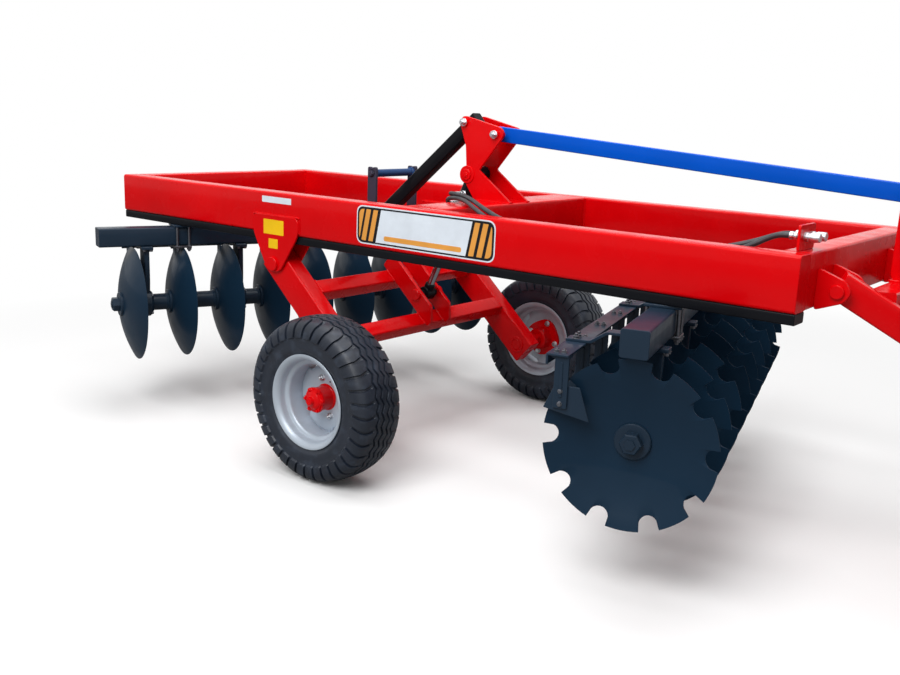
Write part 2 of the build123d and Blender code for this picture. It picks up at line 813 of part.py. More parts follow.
for wheel_name, side in (("right", -1), ("left", 1)):
    wheel_plane = Plane(origin=(axle_x, side * wheel_y, axle_z), x_dir=(1, 0, 0), z_dir=(0, 0, 1))
    wheel_axis = Axis((axle_x, 0, axle_z), (0, 1, 0))

    with BuildPart() as tyre:
        with BuildSketch(wheel_plane):
            bead_r = flange_r + bead_lip
            bulge_r = (seat_r + tyre_r) / 2
            shoulder_r = tyre_r - tyre_shoulder_drop
            shoulder_half = tyre_w / 2 - tyre_shoulder_drop / 2
            with BuildLine():
                Line((seat_r, -bead_half), (bead_r, -bead_half))
                ThreePointArc((bead_r, -bead_half), (bulge_r, -tyre_w / 2), (shoulder_r, -shoulder_half))
                ThreePointArc((shoulder_r, -shoulder_half), (tyre_r, 0), (shoulder_r, shoulder_half))
                ThreePointArc((shoulder_r, shoulder_half), (bulge_r, tyre_w / 2), (bead_r, bead_half))
                Polyline(
                    (bead_r, bead_half),
                    (seat_r, bead_half),
                    (seat_r, bead_half - tyre_wall),
                    (bead_r, bead_half - tyre_wall),
                )
                ThreePointArc(
                    (bead_r, bead_half - tyre_wall),
                    (bulge_r, tyre_w / 2 - tyre_wall),
                    (shoulder_r - tyre_wall, shoulder_half - tyre_wall),
                )
                ThreePointArc(
                    (shoulder_r - tyre_wall, shoulder_half - tyre_wall),
                    (tyre_r - tyre_crown_wall, 0),
                    (shoulder_r - tyre_wall, tyre_wall - shoulder_half),
                )
                ThreePointArc(
                    (shoulder_r - tyre_wall, tyre_wall - shoulder_half),
                    (bulge_r, tyre_wall - tyre_w / 2),
                    (bead_r, tyre_wall - bead_half),
                )
                Polyline(
                    (bead_r, tyre_wall - bead_half),
                    (seat_r, tyre_wall - bead_half),
                    (seat_r, -bead_half),
                )
            make_face()
        revolve(axis=wheel_axis)
    write(tyre, f"{wheel_name}_tyre")

    with BuildPart() as rim:
        with BuildSketch(wheel_plane):
            with BuildLine():
                Polyline(
                    (flange_r, -rim_w / 2),
                    (flange_r, -bead_half),
                    (seat_r, -bead_half),
                    (seat_r, -well_half - rim_ramp),
                    (well_r, -well_half),
                    (well_r, well_half),
                    (seat_r, well_half + rim_ramp),
                    (seat_r, bead_half),
                    (flange_r, bead_half),
                    (flange_r, rim_w / 2),
                    (seat_r - rim_sheet, rim_w / 2),
                    (seat_r - rim_sheet, well_half + rim_ramp + rim_sheet / 2),
                    (well_r - rim_sheet, well_half + rim_sheet / 2),
                    (well_r - rim_sheet, -well_half - rim_sheet / 2),
                    (seat_r - rim_sheet, -well_half - rim_ramp - rim_sheet / 2),
                    (seat_r - rim_sheet, -rim_w / 2),
                    close=True,
                )
            make_face()
            plate_centre = (plate_out + plate_in) / 2 * side
            plate_inner_r = hub_d / 2 + seat_clearance
            plate_outer_r = well_r - rim_sheet / 2
            with Locations(((plate_inner_r + plate_outer_r) / 2, plate_centre)):
                Rectangle(plate_outer_r - plate_inner_r, wheel_plate_t)
        revolve(axis=wheel_axis)
    write(rim, f"{wheel_name}_rim")

    with BuildPart() as hub:
        with BuildSketch(wheel_plane):
            with BuildLine():
                bore_r = axle_d / 2 + pin_clearance
                cap_end = hub_outboard + hub_cap_length
                Polyline(
                    (bore_r, -hub_inboard * side),
                    (hub_d / 2, -hub_inboard * side),
                    (hub_d / 2, (plate_in - hub_flange_t) * side),
                    (hub_flange_d / 2, (plate_in - hub_flange_t) * side),
                    (hub_flange_d / 2, plate_in * side),
                    (hub_d / 2, plate_in * side),
                    (hub_d / 2, hub_outboard * side),
                    (hub_cap_d / 2, hub_outboard * side),
                    (hub_cap_d / 2, (cap_end - hub_cap_taper) * side),
                    (hub_cap_tip_d / 2, cap_end * side),
                    (0, cap_end * side),
                    (0, hub_bore_end * side),
                    (bore_r, hub_bore_end * side),
                    close=True,
                )
            make_face()
        revolve(axis=wheel_axis)
    write(hub, f"{wheel_name}_hub")


# Disc gangs

disc_r = disc_d / 2
flat_r = disc_flat_d / 2
gang_length = (disc_count - 1) * disc_pitch


def dish(radius):
    """Axial depth of the disc's spherical face at a radius, counted from its flat centre."""
    return sqrt(disc_sphere_r ** 2 - flat_r ** 2) - sqrt(disc_sphere_r ** 2 - radius ** 2)


rim_depth = dish(disc_r)
blade_start = rim_depth + disc_t + blade_gap
scraper_end = blade_start + blade_t + scraper_t
scraper_bar_end = gang_length / 2 + scraper_end + scraper_bar_overhang
scraper_bar_start = -gang_length / 2 + blade_start - scraper_bar_overhang
scraper_bar_far = scraper_bar_back + scraper_bar_w


def gang_reach(angle):
    """How far sideways the tip of a gang's scraper bar reaches from the gang's centre."""
    turn = radians(angle)
    return scraper_bar_end * cos(turn) + scraper_bar_far * sin(turn)


def gang(name, centre, concave, scraper_side, notched):
    """Write the pieces of one gang.

    centre is the middle of the disc axis, concave the level direction that the hollow faces of the
    discs look, and scraper_side is 1 or -1 for the side of the axis that carries the scrapers.
    """
    across = Vector(0, 0, 1).cross(concave)

    def section(along):
        """Plane square to the disc axis: local x across the gang, local y up."""
        return Plane(origin=centre + concave * along, x_dir=across, z_dir=concave)

    first = -gang_length / 2
    profile_plane = Plane(origin=centre, x_dir=(0, 0, 1), z_dir=across)
    gang_axis = Axis(centre, concave)

    with BuildPart() as one_disc:
        with BuildSketch(profile_plane):
            mid_r = (flat_r + disc_r) / 2
            with BuildLine():
                Polyline((0, disc_t), (0, 0), (flat_r, 0))
                ThreePointArc((flat_r, 0), (mid_r, dish(mid_r)), (disc_r, rim_depth))
                Line((disc_r, rim_depth), (disc_r - disc_t / 2, dish(disc_r - disc_t / 2) + disc_t))
                ThreePointArc(
                    (disc_r - disc_t / 2, dish(disc_r - disc_t / 2) + disc_t),
                    (mid_r, dish(mid_r) + disc_t),
                    (flat_r, disc_t),
                )
                Line((flat_r, disc_t), (0, disc_t))
            make_face()
        revolve(axis=gang_axis)
        if notched:
            with BuildSketch(section(0)):
                with PolarLocations(notch_centre_r, notch_count):
                    Circle(notch_r)
            extrude(amount=rim_depth + 2 * disc_t, mode=Mode.SUBTRACT)
    with BuildPart() as discs:
        for index in range(disc_count):
            add(one_disc.part.moved(Location(concave * (first + index * disc_pitch))))
    write(discs, f"{name}_discs")

    with BuildPart() as spools:
        for index in range(disc_count - 1):
            start = first + index * disc_pitch + disc_t
            end = first + (index + 1) * disc_pitch
            for low, length, radius in (
                (start, spool_flange_t, spool_flange_d / 2),
                (start, end - start, spool_d / 2),
                (end - spool_flange_t, spool_flange_t, spool_flange_d / 2),
            ):
                with BuildSketch(section(low)):
                    Circle(radius)
                extrude(amount=length)
        for low, length, radius in (
            (first - spool_flange_t, spool_flange_t, spool_flange_d / 2),
            (first - spool_flange_t - gang_nut_t, gang_nut_t, gang_nut_d / 2),
            (-first + disc_t, spool_flange_t, spool_flange_d / 2),
            (-first + disc_t + spool_flange_t, gang_nut_t, gang_nut_d / 2),
        ):
            with BuildSketch(section(low)):
                Circle(radius)
            extrude(amount=length)
    write(spools, f"{name}_spools")

    beam_low = gang_beam_bottom - centre.Z
    beam_half = gang_length / 2 + gang_beam_overhang
    gang_beam_bore = gang_beam_w - 2 * gang_beam_wall
    with BuildPart() as gang_beam:
        with BuildSketch(section(-beam_half)):
            with Locations((0, beam_low + gang_beam_w / 2)):
                Rectangle(gang_beam_w, gang_beam_w)
                Rectangle(gang_beam_bore, gang_beam_bore, mode=Mode.SUBTRACT)
        extrude(amount=2 * beam_half)
        for rail_y in (-beam_y, beam_y):
            along = (rail_y - centre.Y) / concave.Y
            seat = centre + concave * along
            with BuildSketch(Plane(origin=(seat.X, seat.Y, gang_beam_bottom + gang_beam_w), x_dir=across)):
                Rectangle(gang_pad_w, gang_pad_l)
            extrude(amount=rail_bottom - gang_beam_bottom - gang_beam_w)
    write(gang_beam, f"{name}_gang_beam")

    with BuildPart() as hangers:
        for ratio in bearing_ratios:
            middle = ratio * disc_pitch + disc_t / 2
            with BuildSketch(section(middle - hanger_t / 2)):
                with Locations((0, beam_low / 2)):
                    Rectangle(hanger_w, beam_low)
            extrude(amount=hanger_t)
            with BuildSketch(section(middle - bearing_w / 2)):
                Circle(bearing_d / 2)
                with Locations((0, beam_low - hanger_flange_t / 2)):
                    Rectangle(hanger_flange_w, hanger_flange_t)
            extrude(amount=bearing_w)
            with BuildSketch(section(middle - bearing_w)):
                Circle(spool_d / 2 + bearing_clearance)
            extrude(amount=2 * bearing_w, mode=Mode.SUBTRACT)
    write(hangers, f"{name}_hangers")

    bar_top = scraper_bar_top - centre.Z
    bar_near = scraper_bar_back
    bar_far = scraper_bar_far
    strap_low = strap_z - centre.Z
    strap_reach = bar_near - gang_beam_w / 2
    bend_near = gang_beam_w / 2 + strap_reach * strap_bend_ratio
    bend_far = gang_beam_w / 2 + strap_reach * strap_land_ratio
    with BuildPart() as scraper_bar:
        with BuildSketch(section(scraper_bar_start)):
            with BuildLine():
                Polyline(
                    (scraper_side * bar_near, bar_top),
                    (scraper_side * bar_far, bar_top),
                    (scraper_side * bar_far, bar_top - scraper_bar_leg),
                    (scraper_side * (bar_far - scraper_bar_t), bar_top - scraper_bar_leg),
                    (scraper_side * (bar_far - scraper_bar_t), bar_top - scraper_bar_t),
                    (scraper_side * bar_near, bar_top - scraper_bar_t),
                    close=True,
                )
            make_face()
        extrude(amount=scraper_bar_end - scraper_bar_start)
        for ratio in strap_ratios:
            with BuildSketch(section(ratio * disc_pitch - strap_w / 2)):
                with BuildLine():
                    Polyline(
                        (scraper_side * gang_beam_w / 2, strap_low),
                        (scraper_side * bend_near, strap_low),
                        (scraper_side * bend_far, bar_top),
                        (scraper_side * bar_far, bar_top),
                        (scraper_side * bar_far, bar_top + strap_t),
                        (scraper_side * (bend_far + strap_t / 2), bar_top + strap_t),
                        (scraper_side * (bend_near + strap_t / 2), strap_low + strap_t),
                        (scraper_side * gang_beam_w / 2, strap_low + strap_t),
                        close=True,
                    )
                make_face()
            extrude(amount=strap_w)
    write(scraper_bar, f"{name}_scraper_bar")

    arm_far = bar_near + scraper_w
    arm_low = bar_top - scraper_bar_t - scraper_drop
    with BuildPart() as scrapers:
        for index in range(disc_count):
            disc_at = first + index * disc_pitch
            with BuildSketch(section(disc_at + blade_start + blade_t)):
                with BuildLine():
                    Polyline(
                        (scraper_side * bar_near, bar_top - scraper_bar_t),
                        (scraper_side * arm_far, bar_top - scraper_bar_t),
                        (scraper_side * arm_far, arm_low),
                        (scraper_side * bar_near, arm_low),
                        close=True,
                    )
                make_face()
            extrude(amount=scraper_t)
            with BuildSketch(section(disc_at + blade_start)):
                with BuildLine():
                    Polyline(
                        (scraper_side * (bar_near + blade_out), arm_low - blade_dip_out),
                        (scraper_side * (bar_near + blade_shoulder_out), arm_low + blade_top),
                        (scraper_side * (bar_near - blade_shoulder_in), arm_low + blade_top),
                        (scraper_side * (bar_near - blade_in), arm_low - blade_dip_in),
                        close=True,
                    )
                make_face()
            extrude(amount=blade_t)
    write(scrapers, f"{name}_scrapers")


front_turn = radians(front_gang_angle)
rear_turn = radians(rear_gang_angle)
rear_gang_y = gang_reach(front_gang_angle) - gang_reach(rear_gang_angle)
gang(
    "front",
    Vector(axle_x + front_gang_x, 0, disc_axis_z),
    Vector(sin(front_turn), -cos(front_turn), 0),
    scraper_side=-1,
    notched=True,
)
gang(
    "rear",
    Vector(axle_x + rear_gang_x, rear_gang_y, disc_axis_z),
    Vector(sin(rear_turn), cos(rear_turn), 0),
    scraper_side=1,
    notched=False,
)


# Jack on the right of the drawbar nose, and the socket that it turns in

jack_x = axle_x + nose_x + jack_ahead_of_nose
socket_end = jack_out - jack_tube_d / 2 - jack_socket_flange
with BuildPart() as jack_socket:
    with BuildSketch(side_plane(-nose_w / 2)):
        with Locations((jack_x, jack_pivot_z)):
            Circle(jack_socket_d / 2)
            Circle(jack_pin_d / 2 + pin_clearance, mode=Mode.SUBTRACT)
    extrude(amount=socket_end - jack_side_gap - nose_w / 2)
write(jack_socket, "jack_socket")

with BuildPart() as jack_tube:
    with BuildSketch(Plane.XY.offset(jack_tube_low)):
        with Locations((jack_x, -jack_out)):
            Circle(jack_tube_d / 2)
    extrude(amount=jack_tube_high - jack_tube_low)
    with BuildSketch(side_plane(-socket_end)):
        with Locations((jack_x, jack_pivot_z)):
            Circle(jack_socket_d / 2)
    extrude(amount=jack_out - socket_end)
    with BuildSketch(side_plane(-nose_w / 2 - seat_clearance)):
        with Locations((jack_x, jack_pivot_z)):
            Circle(jack_pin_d / 2)
    extrude(amount=jack_out - nose_w / 2 - seat_clearance)
    with BuildSketch(Plane.XY.offset(jack_tube_low)):
        with Locations((jack_x, -jack_out)):
            Circle(jack_tube_d / 2 - jack_tube_wall)
    extrude(amount=jack_tube_high - jack_tube_low - jack_tube_wall, mode=Mode.SUBTRACT)
write(jack_tube, "jack_tube")

jack_leg_r = jack_tube_d / 2 - jack_tube_wall - seat_clearance
with BuildPart() as jack_leg:
    with BuildSketch(Plane.XY.offset(jack_foot_t)):
        with Locations((jack_x, -jack_out)):
            Circle(jack_leg_r)
            Circle(jack_leg_r - jack_leg_wall, mode=Mode.SUBTRACT)
    extrude(amount=jack_leg_high - jack_foot_t)
    with BuildSketch(Plane.XY):
        with Locations((jack_x, -jack_out)):
            RectangleRounded(jack_foot, jack_foot, jack_foot_corner)
    extrude(amount=jack_foot_t)
write(jack_leg, "jack_leg")

with BuildPart() as jack_crank:
    crank_z = jack_tube_high + crank_rise
    grip_x = jack_x - crank_reach
    with BuildLine() as crank_route:
        FilletPolyline(
            (jack_x, -jack_out, jack_tube_high),
            (jack_x, -jack_out, crank_z),
            (grip_x, -jack_out, crank_z),
            (grip_x, -jack_out, crank_z + crank_grip),
            radius=crank_bend,
        )
    with BuildSketch(Plane.XY.offset(jack_tube_high)):
        with Locations((jack_x, -jack_out)):
            Circle(crank_d / 2)
    sweep(path=crank_route.wires()[0])
write(jack_crank, "jack_crank")


# Two hoses from the barrel's ports over the middle cross beam to the bulkhead at the front


def hose(points, name):
    """Write a hose along straight runs joined by arcs as large as the runs allow."""
    corners = [Vector(*point) for point in points]
    radii = []
    for before, corner, after in zip(corners, corners[1:], corners[2:]):
        turn = radians((corner - before).get_angle(after - corner))
        shorter = min((corner - before).length, (after - corner).length)
        radii.append(hose_arc_ratio * shorter / tan(turn / 2))
    with BuildPart() as tube:
        with BuildLine() as route:
            FilletPolyline(*corners, radius=radii)
        with BuildSketch(Plane(origin=corners[0], z_dir=corners[1] - corners[0])):
            Circle(hose_d / 2)
        sweep(path=route.wires()[0])
    print(name, "radii", [round(radius) for radius in radii])
    write(tube, name)


hose_y = -beam_in + clip_wall / 2 + hose_d / 2
port_tip = -barrel_d / 2 - port_height
bulkhead_rear = axle_x + frame_front - cross_w / 2
hose_level_x = bulkhead_rear - hose_level_run
hose_climb_x = hose_level_x - hose_climb_run
hose_run_end = hose_climb_x - hose_ramp_run
hose_routes = (upper_hose_points, lower_hose_points)
for index, hose_name in enumerate(("upper_hose", "lower_hose")):
    port_seat = barrel_pin + cylinder_dir * (port_along + index * port_pitch)
    run_z = hose_run_z - index * hose_pitch
    end_y = bulkhead_y + bulkhead_pitch / 2 - index * bulkhead_pitch
    hose(
        [(port_seat.X, port_tip, port_seat.Z), (port_seat.X, port_tip - hose_lead, port_seat.Z)]
        + [(axle_x + x, y, z) for x, y, z in hose_routes[index]]
        + [
            (axle_x + hose_run_start, hose_y, run_z),
            (hose_run_end, hose_y, run_z),
            (hose_climb_x, (hose_y + end_y) / 2, (run_z + coupler_z) / 2),
            (hose_level_x, end_y, coupler_z),
            (bulkhead_rear - bulkhead_t / 2, end_y, coupler_z),
        ],
        hose_name,
    )

with BuildPart() as hose_bulkhead:
    with BuildSketch(Plane.YZ.offset(bulkhead_rear - bulkhead_t / 2)):
        with Locations((bulkhead_y, beam_top + bulkhead_h / 2)):
            Rectangle(bulkhead_w, bulkhead_h)
    extrude(amount=bulkhead_t)
    with BuildSketch(Plane.YZ.offset(bulkhead_rear + bulkhead_t / 2)):
        with Locations((bulkhead_y, coupler_z)):
            with GridLocations(bulkhead_pitch, 0, 2, 1):
                Circle(coupler_d / 2)
    extrude(amount=coupler_length)
write(hose_bulkhead, "hose_bulkhead")

with BuildPart() as hose_clips:
    clip_in = hose_y + hose_d / 2 + clip_wall
    clip_high = hose_run_z + hose_d / 2 + clip_wall
    clip_low = hose_run_z - hose_pitch - hose_d / 2 - clip_wall
    first_clip_x = axle_x + hose_run_start + clip_after_start
    last_clip_x = hose_run_end - clip_before_end - clip_length
    for clip_x in (first_clip_x, last_clip_x):
        with BuildSketch(Plane.YZ.offset(clip_x)):
            with Locations(((clip_in - beam_in) / 2, (clip_high + clip_low) / 2)):
                Rectangle(clip_in + beam_in, clip_high - clip_low)
            with Locations((hose_y, hose_run_z), (hose_y, hose_run_z - hose_pitch)):
                Circle(hose_d / 2 + seat_clearance, mode=Mode.SUBTRACT)
        extrude(amount=clip_length)
write(hose_clips, "hose_clips")
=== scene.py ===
"""Trailed offset disc harrow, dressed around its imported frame.

Sizes are millimetres with X counted forward from the wheel axle, Y to the left and Z up from the ground, and
each finished piece is put into the frame's own place in metres.
"""
import logging
from dataclasses import dataclass, replace
from enum import Enum
from math import atan2, cos, hypot, pi, radians, sin

import bmesh
import bpy
import numpy as np
from mathutils import Matrix


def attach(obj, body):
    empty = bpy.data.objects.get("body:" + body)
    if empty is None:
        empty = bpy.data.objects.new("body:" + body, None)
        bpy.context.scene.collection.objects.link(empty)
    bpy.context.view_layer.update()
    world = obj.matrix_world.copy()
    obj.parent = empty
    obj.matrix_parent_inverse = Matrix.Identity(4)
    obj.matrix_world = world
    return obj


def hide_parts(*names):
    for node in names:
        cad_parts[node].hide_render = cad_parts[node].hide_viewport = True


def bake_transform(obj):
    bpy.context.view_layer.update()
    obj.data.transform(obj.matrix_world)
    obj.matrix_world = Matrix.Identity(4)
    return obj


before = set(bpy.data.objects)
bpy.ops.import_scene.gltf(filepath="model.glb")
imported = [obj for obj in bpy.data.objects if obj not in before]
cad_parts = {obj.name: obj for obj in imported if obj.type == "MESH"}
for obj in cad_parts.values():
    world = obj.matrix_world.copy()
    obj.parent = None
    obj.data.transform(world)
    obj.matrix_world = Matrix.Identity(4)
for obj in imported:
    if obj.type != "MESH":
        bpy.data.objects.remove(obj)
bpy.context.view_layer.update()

LOG = logging.getLogger("harrow")
Flat = tuple[float, float]
Point = tuple[float, float, float]
Outline = list[Flat]
Colour = tuple[int, int, int]
Socket = bpy.types.NodeSocket

FORWARD: Point = (1.0, 0.0, 0.0)
LEFT: Point = (0.0, 1.0, 0.0)
RIGHT: Point = (0.0, -1.0, 0.0)
UP: Point = (0.0, 0.0, 1.0)
DOWN: Point = (0.0, 0.0, -1.0)
AXLE_X = -848.5
AXLE_Z = 380.0
WHEEL_Y = 923.0
BEAM_Y = 654.0
FRAME_TOP = 1252.0
PIVOT: Flat = (-581.0, 901.0)
BARREL_PIN: Flat = (119.0, 1372.0)
DRAWBAR_PIN: Point = (2075.0, 430.0, 1120.0)
WELD_CREASE = 60.0
MERGE_DISTANCE = 1e-6


@dataclass
class Shell:
    """Corners of a surface and its faces, as arrays of corner numbers with one array for each face size."""

    verts: np.ndarray
    faces: list[np.ndarray]

    def copies(self, offsets: np.ndarray) -> "Shell":
        """Repeat the surface once at each offset.

        Args:
            offsets: one row of X, Y and Z for each copy.

        Returns:
            All the copies as one surface; corner i of copy c is corner i plus offset c.
        """
        count = len(self.verts)
        verts = (self.verts[None] + np.asarray(offsets, float)[:, None]).reshape(-1, 3)
        starts = np.arange(len(offsets))[:, None, None] * count
        return Shell(verts, [(face[None] + starts).reshape(-1, face.shape[1]) for face in self.faces])


@dataclass(frozen=True)
class Place:
    """A point with three square directions: across, up and along."""

    origin: np.ndarray
    across: np.ndarray
    up: np.ndarray
    along: np.ndarray

    def put(self, points: np.ndarray) -> np.ndarray:
        """Origin plus each local coordinate times its direction."""
        return self.origin + np.asarray(points, float) @ np.stack((self.across, self.up, self.along))


def unit(vector: np.ndarray) -> np.ndarray:
    """The same direction with a length of one."""
    vector = np.asarray(vector, float)
    return vector / np.linalg.norm(vector)


def aimed(origin: Point, along: Point, up: Point = UP) -> Place:
    """Local axes at a point, looking along a direction.

    Args:
        origin: the point.
        along: the direction of the local third axis.
        up: a direction that the local second axis leans towards.

    Returns:
        The place, right-handed.
    """
    ahead = unit(along)
    across = unit(np.cross(np.asarray(up, float), ahead))
    return Place(np.asarray(origin, float), across, np.cross(ahead, across), ahead)


def side_on(y: float) -> Place:
    """Local X and Z of the machine at a given Y; the local third axis points to the right, towards -Y."""
    return Place(np.array((0.0, y, 0.0)), np.array(FORWARD), np.array(UP), np.array(RIGHT))


def metres(points: np.ndarray) -> np.ndarray:
    """Millimetres from the wheel axle as metres in the frame's own place."""
    return (np.asarray(points, float) + (AXLE_X, 0.0, 0.0)) / 1000


def circle(sides: int) -> np.ndarray:
    """Points evenly spaced round a circle with a radius of one."""
    turn = np.linspace(0, 2 * pi, sides, endpoint=False)
    return np.stack((np.cos(turn), np.sin(turn)), -1)


def about(first: float, steps: list[float]) -> np.ndarray:
    """A first value, then the steps on both sides of nought in rising order."""
    rising = np.array(steps, float)
    return np.concatenate(([first], -rising[::-1], [0.0], rising))


def mirrored(half: Outline, total: float = 0.0) -> Outline:
    """A profile and its mirror image: each point again, in reverse order, at the total less its distance."""
    return half + [(radius, total - along) for radius, along in reversed(half)]


def joined(*shells: Shell) -> Shell:
    """Put several surfaces into one, with the corner numbers of each moved up by the corners before it.

    Args:
        shells: the surfaces.

    Returns:
        All of them as one surface.
    """
    starts = np.cumsum([0] + [len(shell.verts) for shell in shells])
    faces = [face + start for shell, start in zip(shells, starts) for face in shell.faces]
    return Shell(np.concatenate([shell.verts for shell in shells]), faces)


def loft(rings: np.ndarray, closed: bool = False) -> Shell:
    """Skin over closed rings of points, with a face between each four neighbours.

    Args:
        rings: array of rings by points by three.
        closed: whether the last ring joins the first; otherwise both ends get a flat cap.

    Returns:
        The skinned surface.
    """
    count, size = rings.shape[:2]
    index = np.arange(count * size).reshape(count, size)
    ahead = np.roll(index, -1, axis=0) if closed else index[1:]
    here = index if closed else index[:-1]
    quads = np.stack((here, np.roll(here, -1, 1), np.roll(ahead, -1, 1), ahead), -1).reshape(-1, 4)
    caps = [] if closed else [index[:1, ::-1], index[-1:]]
    return Shell(rings.reshape(-1, 3), [quads, *caps])


def rings_at(place: Place, levels: list[tuple[np.ndarray, float]]) -> np.ndarray:
    """Outlines set at distances along a place.

    Args:
        place: where they lie, in its across and up directions.
        levels: each outline with its distance along; all have the same number of points.

    Returns:
        Array of rings by points by three.
    """
    return np.stack([place.put(np.column_stack((line, np.full(len(line), along)))) for line, along in levels])


def box_section(width: float, height: float, corner: float, steps: int = 5) -> np.ndarray:
    """Outline of a rectangle with round corners: each corner is a quarter circle about its own centre.

    Args:
        width: size across.
        height: size up.
        corner: radius of the corners.
        steps: points for each corner.

    Returns:
        The outline, anticlockwise.
    """
    turn = np.linspace(0, pi / 2, steps)
    arc = np.stack((np.cos(turn), np.sin(turn)), -1) * corner
    half_w, half_h = width / 2 - corner, height / 2 - corner
    quarter = [np.array([[cos(a), sin(a)], [-sin(a), cos(a)]]) for a in (0, pi / 2, pi, 3 * pi / 2)]
    centres = ((half_w, half_h), (-half_w, half_h), (-half_w, -half_h), (half_w, -half_h))
    return np.concatenate([arc @ spin + centre for spin, centre in zip(quarter, centres)])


def bar(
    start: Point,
    end: Point,
    width: float,
    height: float,
    corner: float = 10.0,
    up: Point = UP,
    cuts: tuple = (None, None),
    edge: float = 2.0,
) -> Shell:
    """Box tube between two points with round corners and a small bevel at each end.

    The round rectangle is carried along the straight line. A ring that has a cut slides along the line until
    each of its points lies in the cutting plane.

    Args:
        start: middle of the first end.
        end: middle of the last end.
        width: size across.
        height: size along the up direction.
        corner: radius of the long edges.
        up: direction that the height leans towards.
        cuts: for each end None or a plane as (point, normal).
        edge: bevel at the ends.

    Returns:
        The closed tube.
    """
    place = aimed(start, np.subtract(end, start), up)
    length = float(np.linalg.norm(np.subtract(end, start)))
    full = box_section(width, height, corner)
    small = box_section(width - 2 * edge, height - 2 * edge, max(corner - edge, 0.5))
    rings = rings_at(place, [(small, 0.0), (full, edge), (full, length - edge), (small, length)])
    for cut, pair in zip(cuts, (slice(0, 2), slice(2, 4))):
        if cut is not None:
            point, normal = np.asarray(cut[0], float), unit(cut[1])
            reach = ((point - rings[pair]) @ normal) / (place.along @ normal)
            rings[pair] += reach[..., None] * place.along
    return loft(rings)


def rounded(points: Outline, radius: float, steps: int = 5) -> np.ndarray:
    """Outline with eased corners: each corner becomes a parabola between points on its two edges.

    Args:
        points: the sharp corners.
        radius: how far from its corner each curve starts, at most 0.45 of the edge.
        steps: points for each corner.

    Returns:
        The eased outline, anticlockwise.
    """
    corner = np.asarray(points, float)
    if np.sum(corner[:, 0] * np.roll(corner[:, 1], -1) - np.roll(corner[:, 0], -1) * corner[:, 1]) < 0:
        corner = corner[::-1]
    back, front = np.roll(corner, 1, 0) - corner, np.roll(corner, -1, 0) - corner
    back_l, front_l = np.linalg.norm(back, axis=1)[:, None], np.linalg.norm(front, axis=1)[:, None]
    first = corner + back / back_l * np.minimum(radius, 0.45 * back_l)
    last = corner + front / front_l * np.minimum(radius, 0.45 * front_l)
    t = np.linspace(0, 1, steps)[None, :, None]
    curve = (1 - t) ** 2 * first[:, None] + 2 * t * (1 - t) * corner[:, None] + t**2 * last[:, None]
    return curve.reshape(-1, 2)


def inset(outline: np.ndarray, depth: float) -> np.ndarray:
    """Each corner of an anticlockwise outline moved in along the mean of its two edges' inward normals.

    Args:
        outline: the corners.
        depth: how far the edges move.

    Returns:
        The smaller outline.
    """
    ahead = np.roll(outline, -1, 0) - outline
    normal = np.stack((-ahead[:, 1], ahead[:, 0]), -1)
    normal = normal / np.maximum(np.linalg.norm(normal, axis=1)[:, None], 1e-9)
    before = np.roll(normal, 1, 0)
    scale = depth / np.maximum(1 + np.sum(normal * before, 1)[:, None], 0.5)
    return outline + (normal + before) * scale


def plate(outline: np.ndarray, place: Place, thickness: float, edge: float = 1.5) -> Shell:
    """Flat plate with bevelled edges: the outline and its inset at four depths.

    Args:
        outline: anticlockwise outline in the place's across and up directions.
        place: where the plate lies; its thickness runs along.
        thickness: from the place's origin.
        edge: bevel of the rim.

    Returns:
        The closed plate.
    """
    small = inset(outline, edge)
    levels = [(small, 0.0), (outline, edge), (outline, thickness - edge), (small, thickness)]
    return loft(rings_at(place, levels))


def lathe(profile: Outline, place: Place, sides: int = 48, closed: bool = False) -> Shell:
    """Round body: each profile point (radius, distance along) turned about the place's third axis.

    Args:
        profile: radius and distance along, from one end to the other.
        place: where the axis starts.
        sides: points in each ring.
        closed: whether the profile is a closed loop around a bore.

    Returns:
        The turned surface.
    """
    section = np.asarray(profile, float)
    flat = section[:, None, :1] * circle(sides)[None]
    depth = np.broadcast_to(section[:, None, 1:], flat.shape[:2] + (1,))
    return loft(place.put(np.concatenate((flat, depth), -1)), closed)


def tube(
    path: np.ndarray, radius: float, sides: int = 14, closed: bool = False, ripple: float = 0.0
) -> Shell:
    """Round tube along a path: circles square to the path's direction, kept level by the vertical.

    Args:
        path: points of the middle line.
        radius: of the tube.
        sides: points in each circle.
        closed: whether the path is a loop.
        ripple: share by which the radius swells and shrinks from point to point, as in a weld.

    Returns:
        The tube.
    """
    path = np.asarray(path, float)
    if closed:
        ahead = np.roll(path, -1, 0) - np.roll(path, 1, 0)
    else:
        ahead = np.gradient(path, axis=0)
    ahead = ahead / np.linalg.norm(ahead, axis=1)[:, None]
    lean = np.where(np.abs(ahead[:, 2:]) > 0.95, (0.0, 1.0, 0.0), (0.0, 0.0, 1.0))
    across = np.cross(lean, ahead)
    across = across / np.linalg.norm(across, axis=1)[:, None]
    up = np.cross(ahead, across)
    turn = np.linspace(0, 2 * pi, sides, endpoint=False)[None, :, None]
    swell = radius * (1 + ripple * np.where(np.arange(len(path)) % 2, 1.0, -1.0))[:, None, None]
    return loft(path[:, None] + swell * (np.cos(turn) * across[:, None] + np.sin(turn) * up[:, None]), closed)


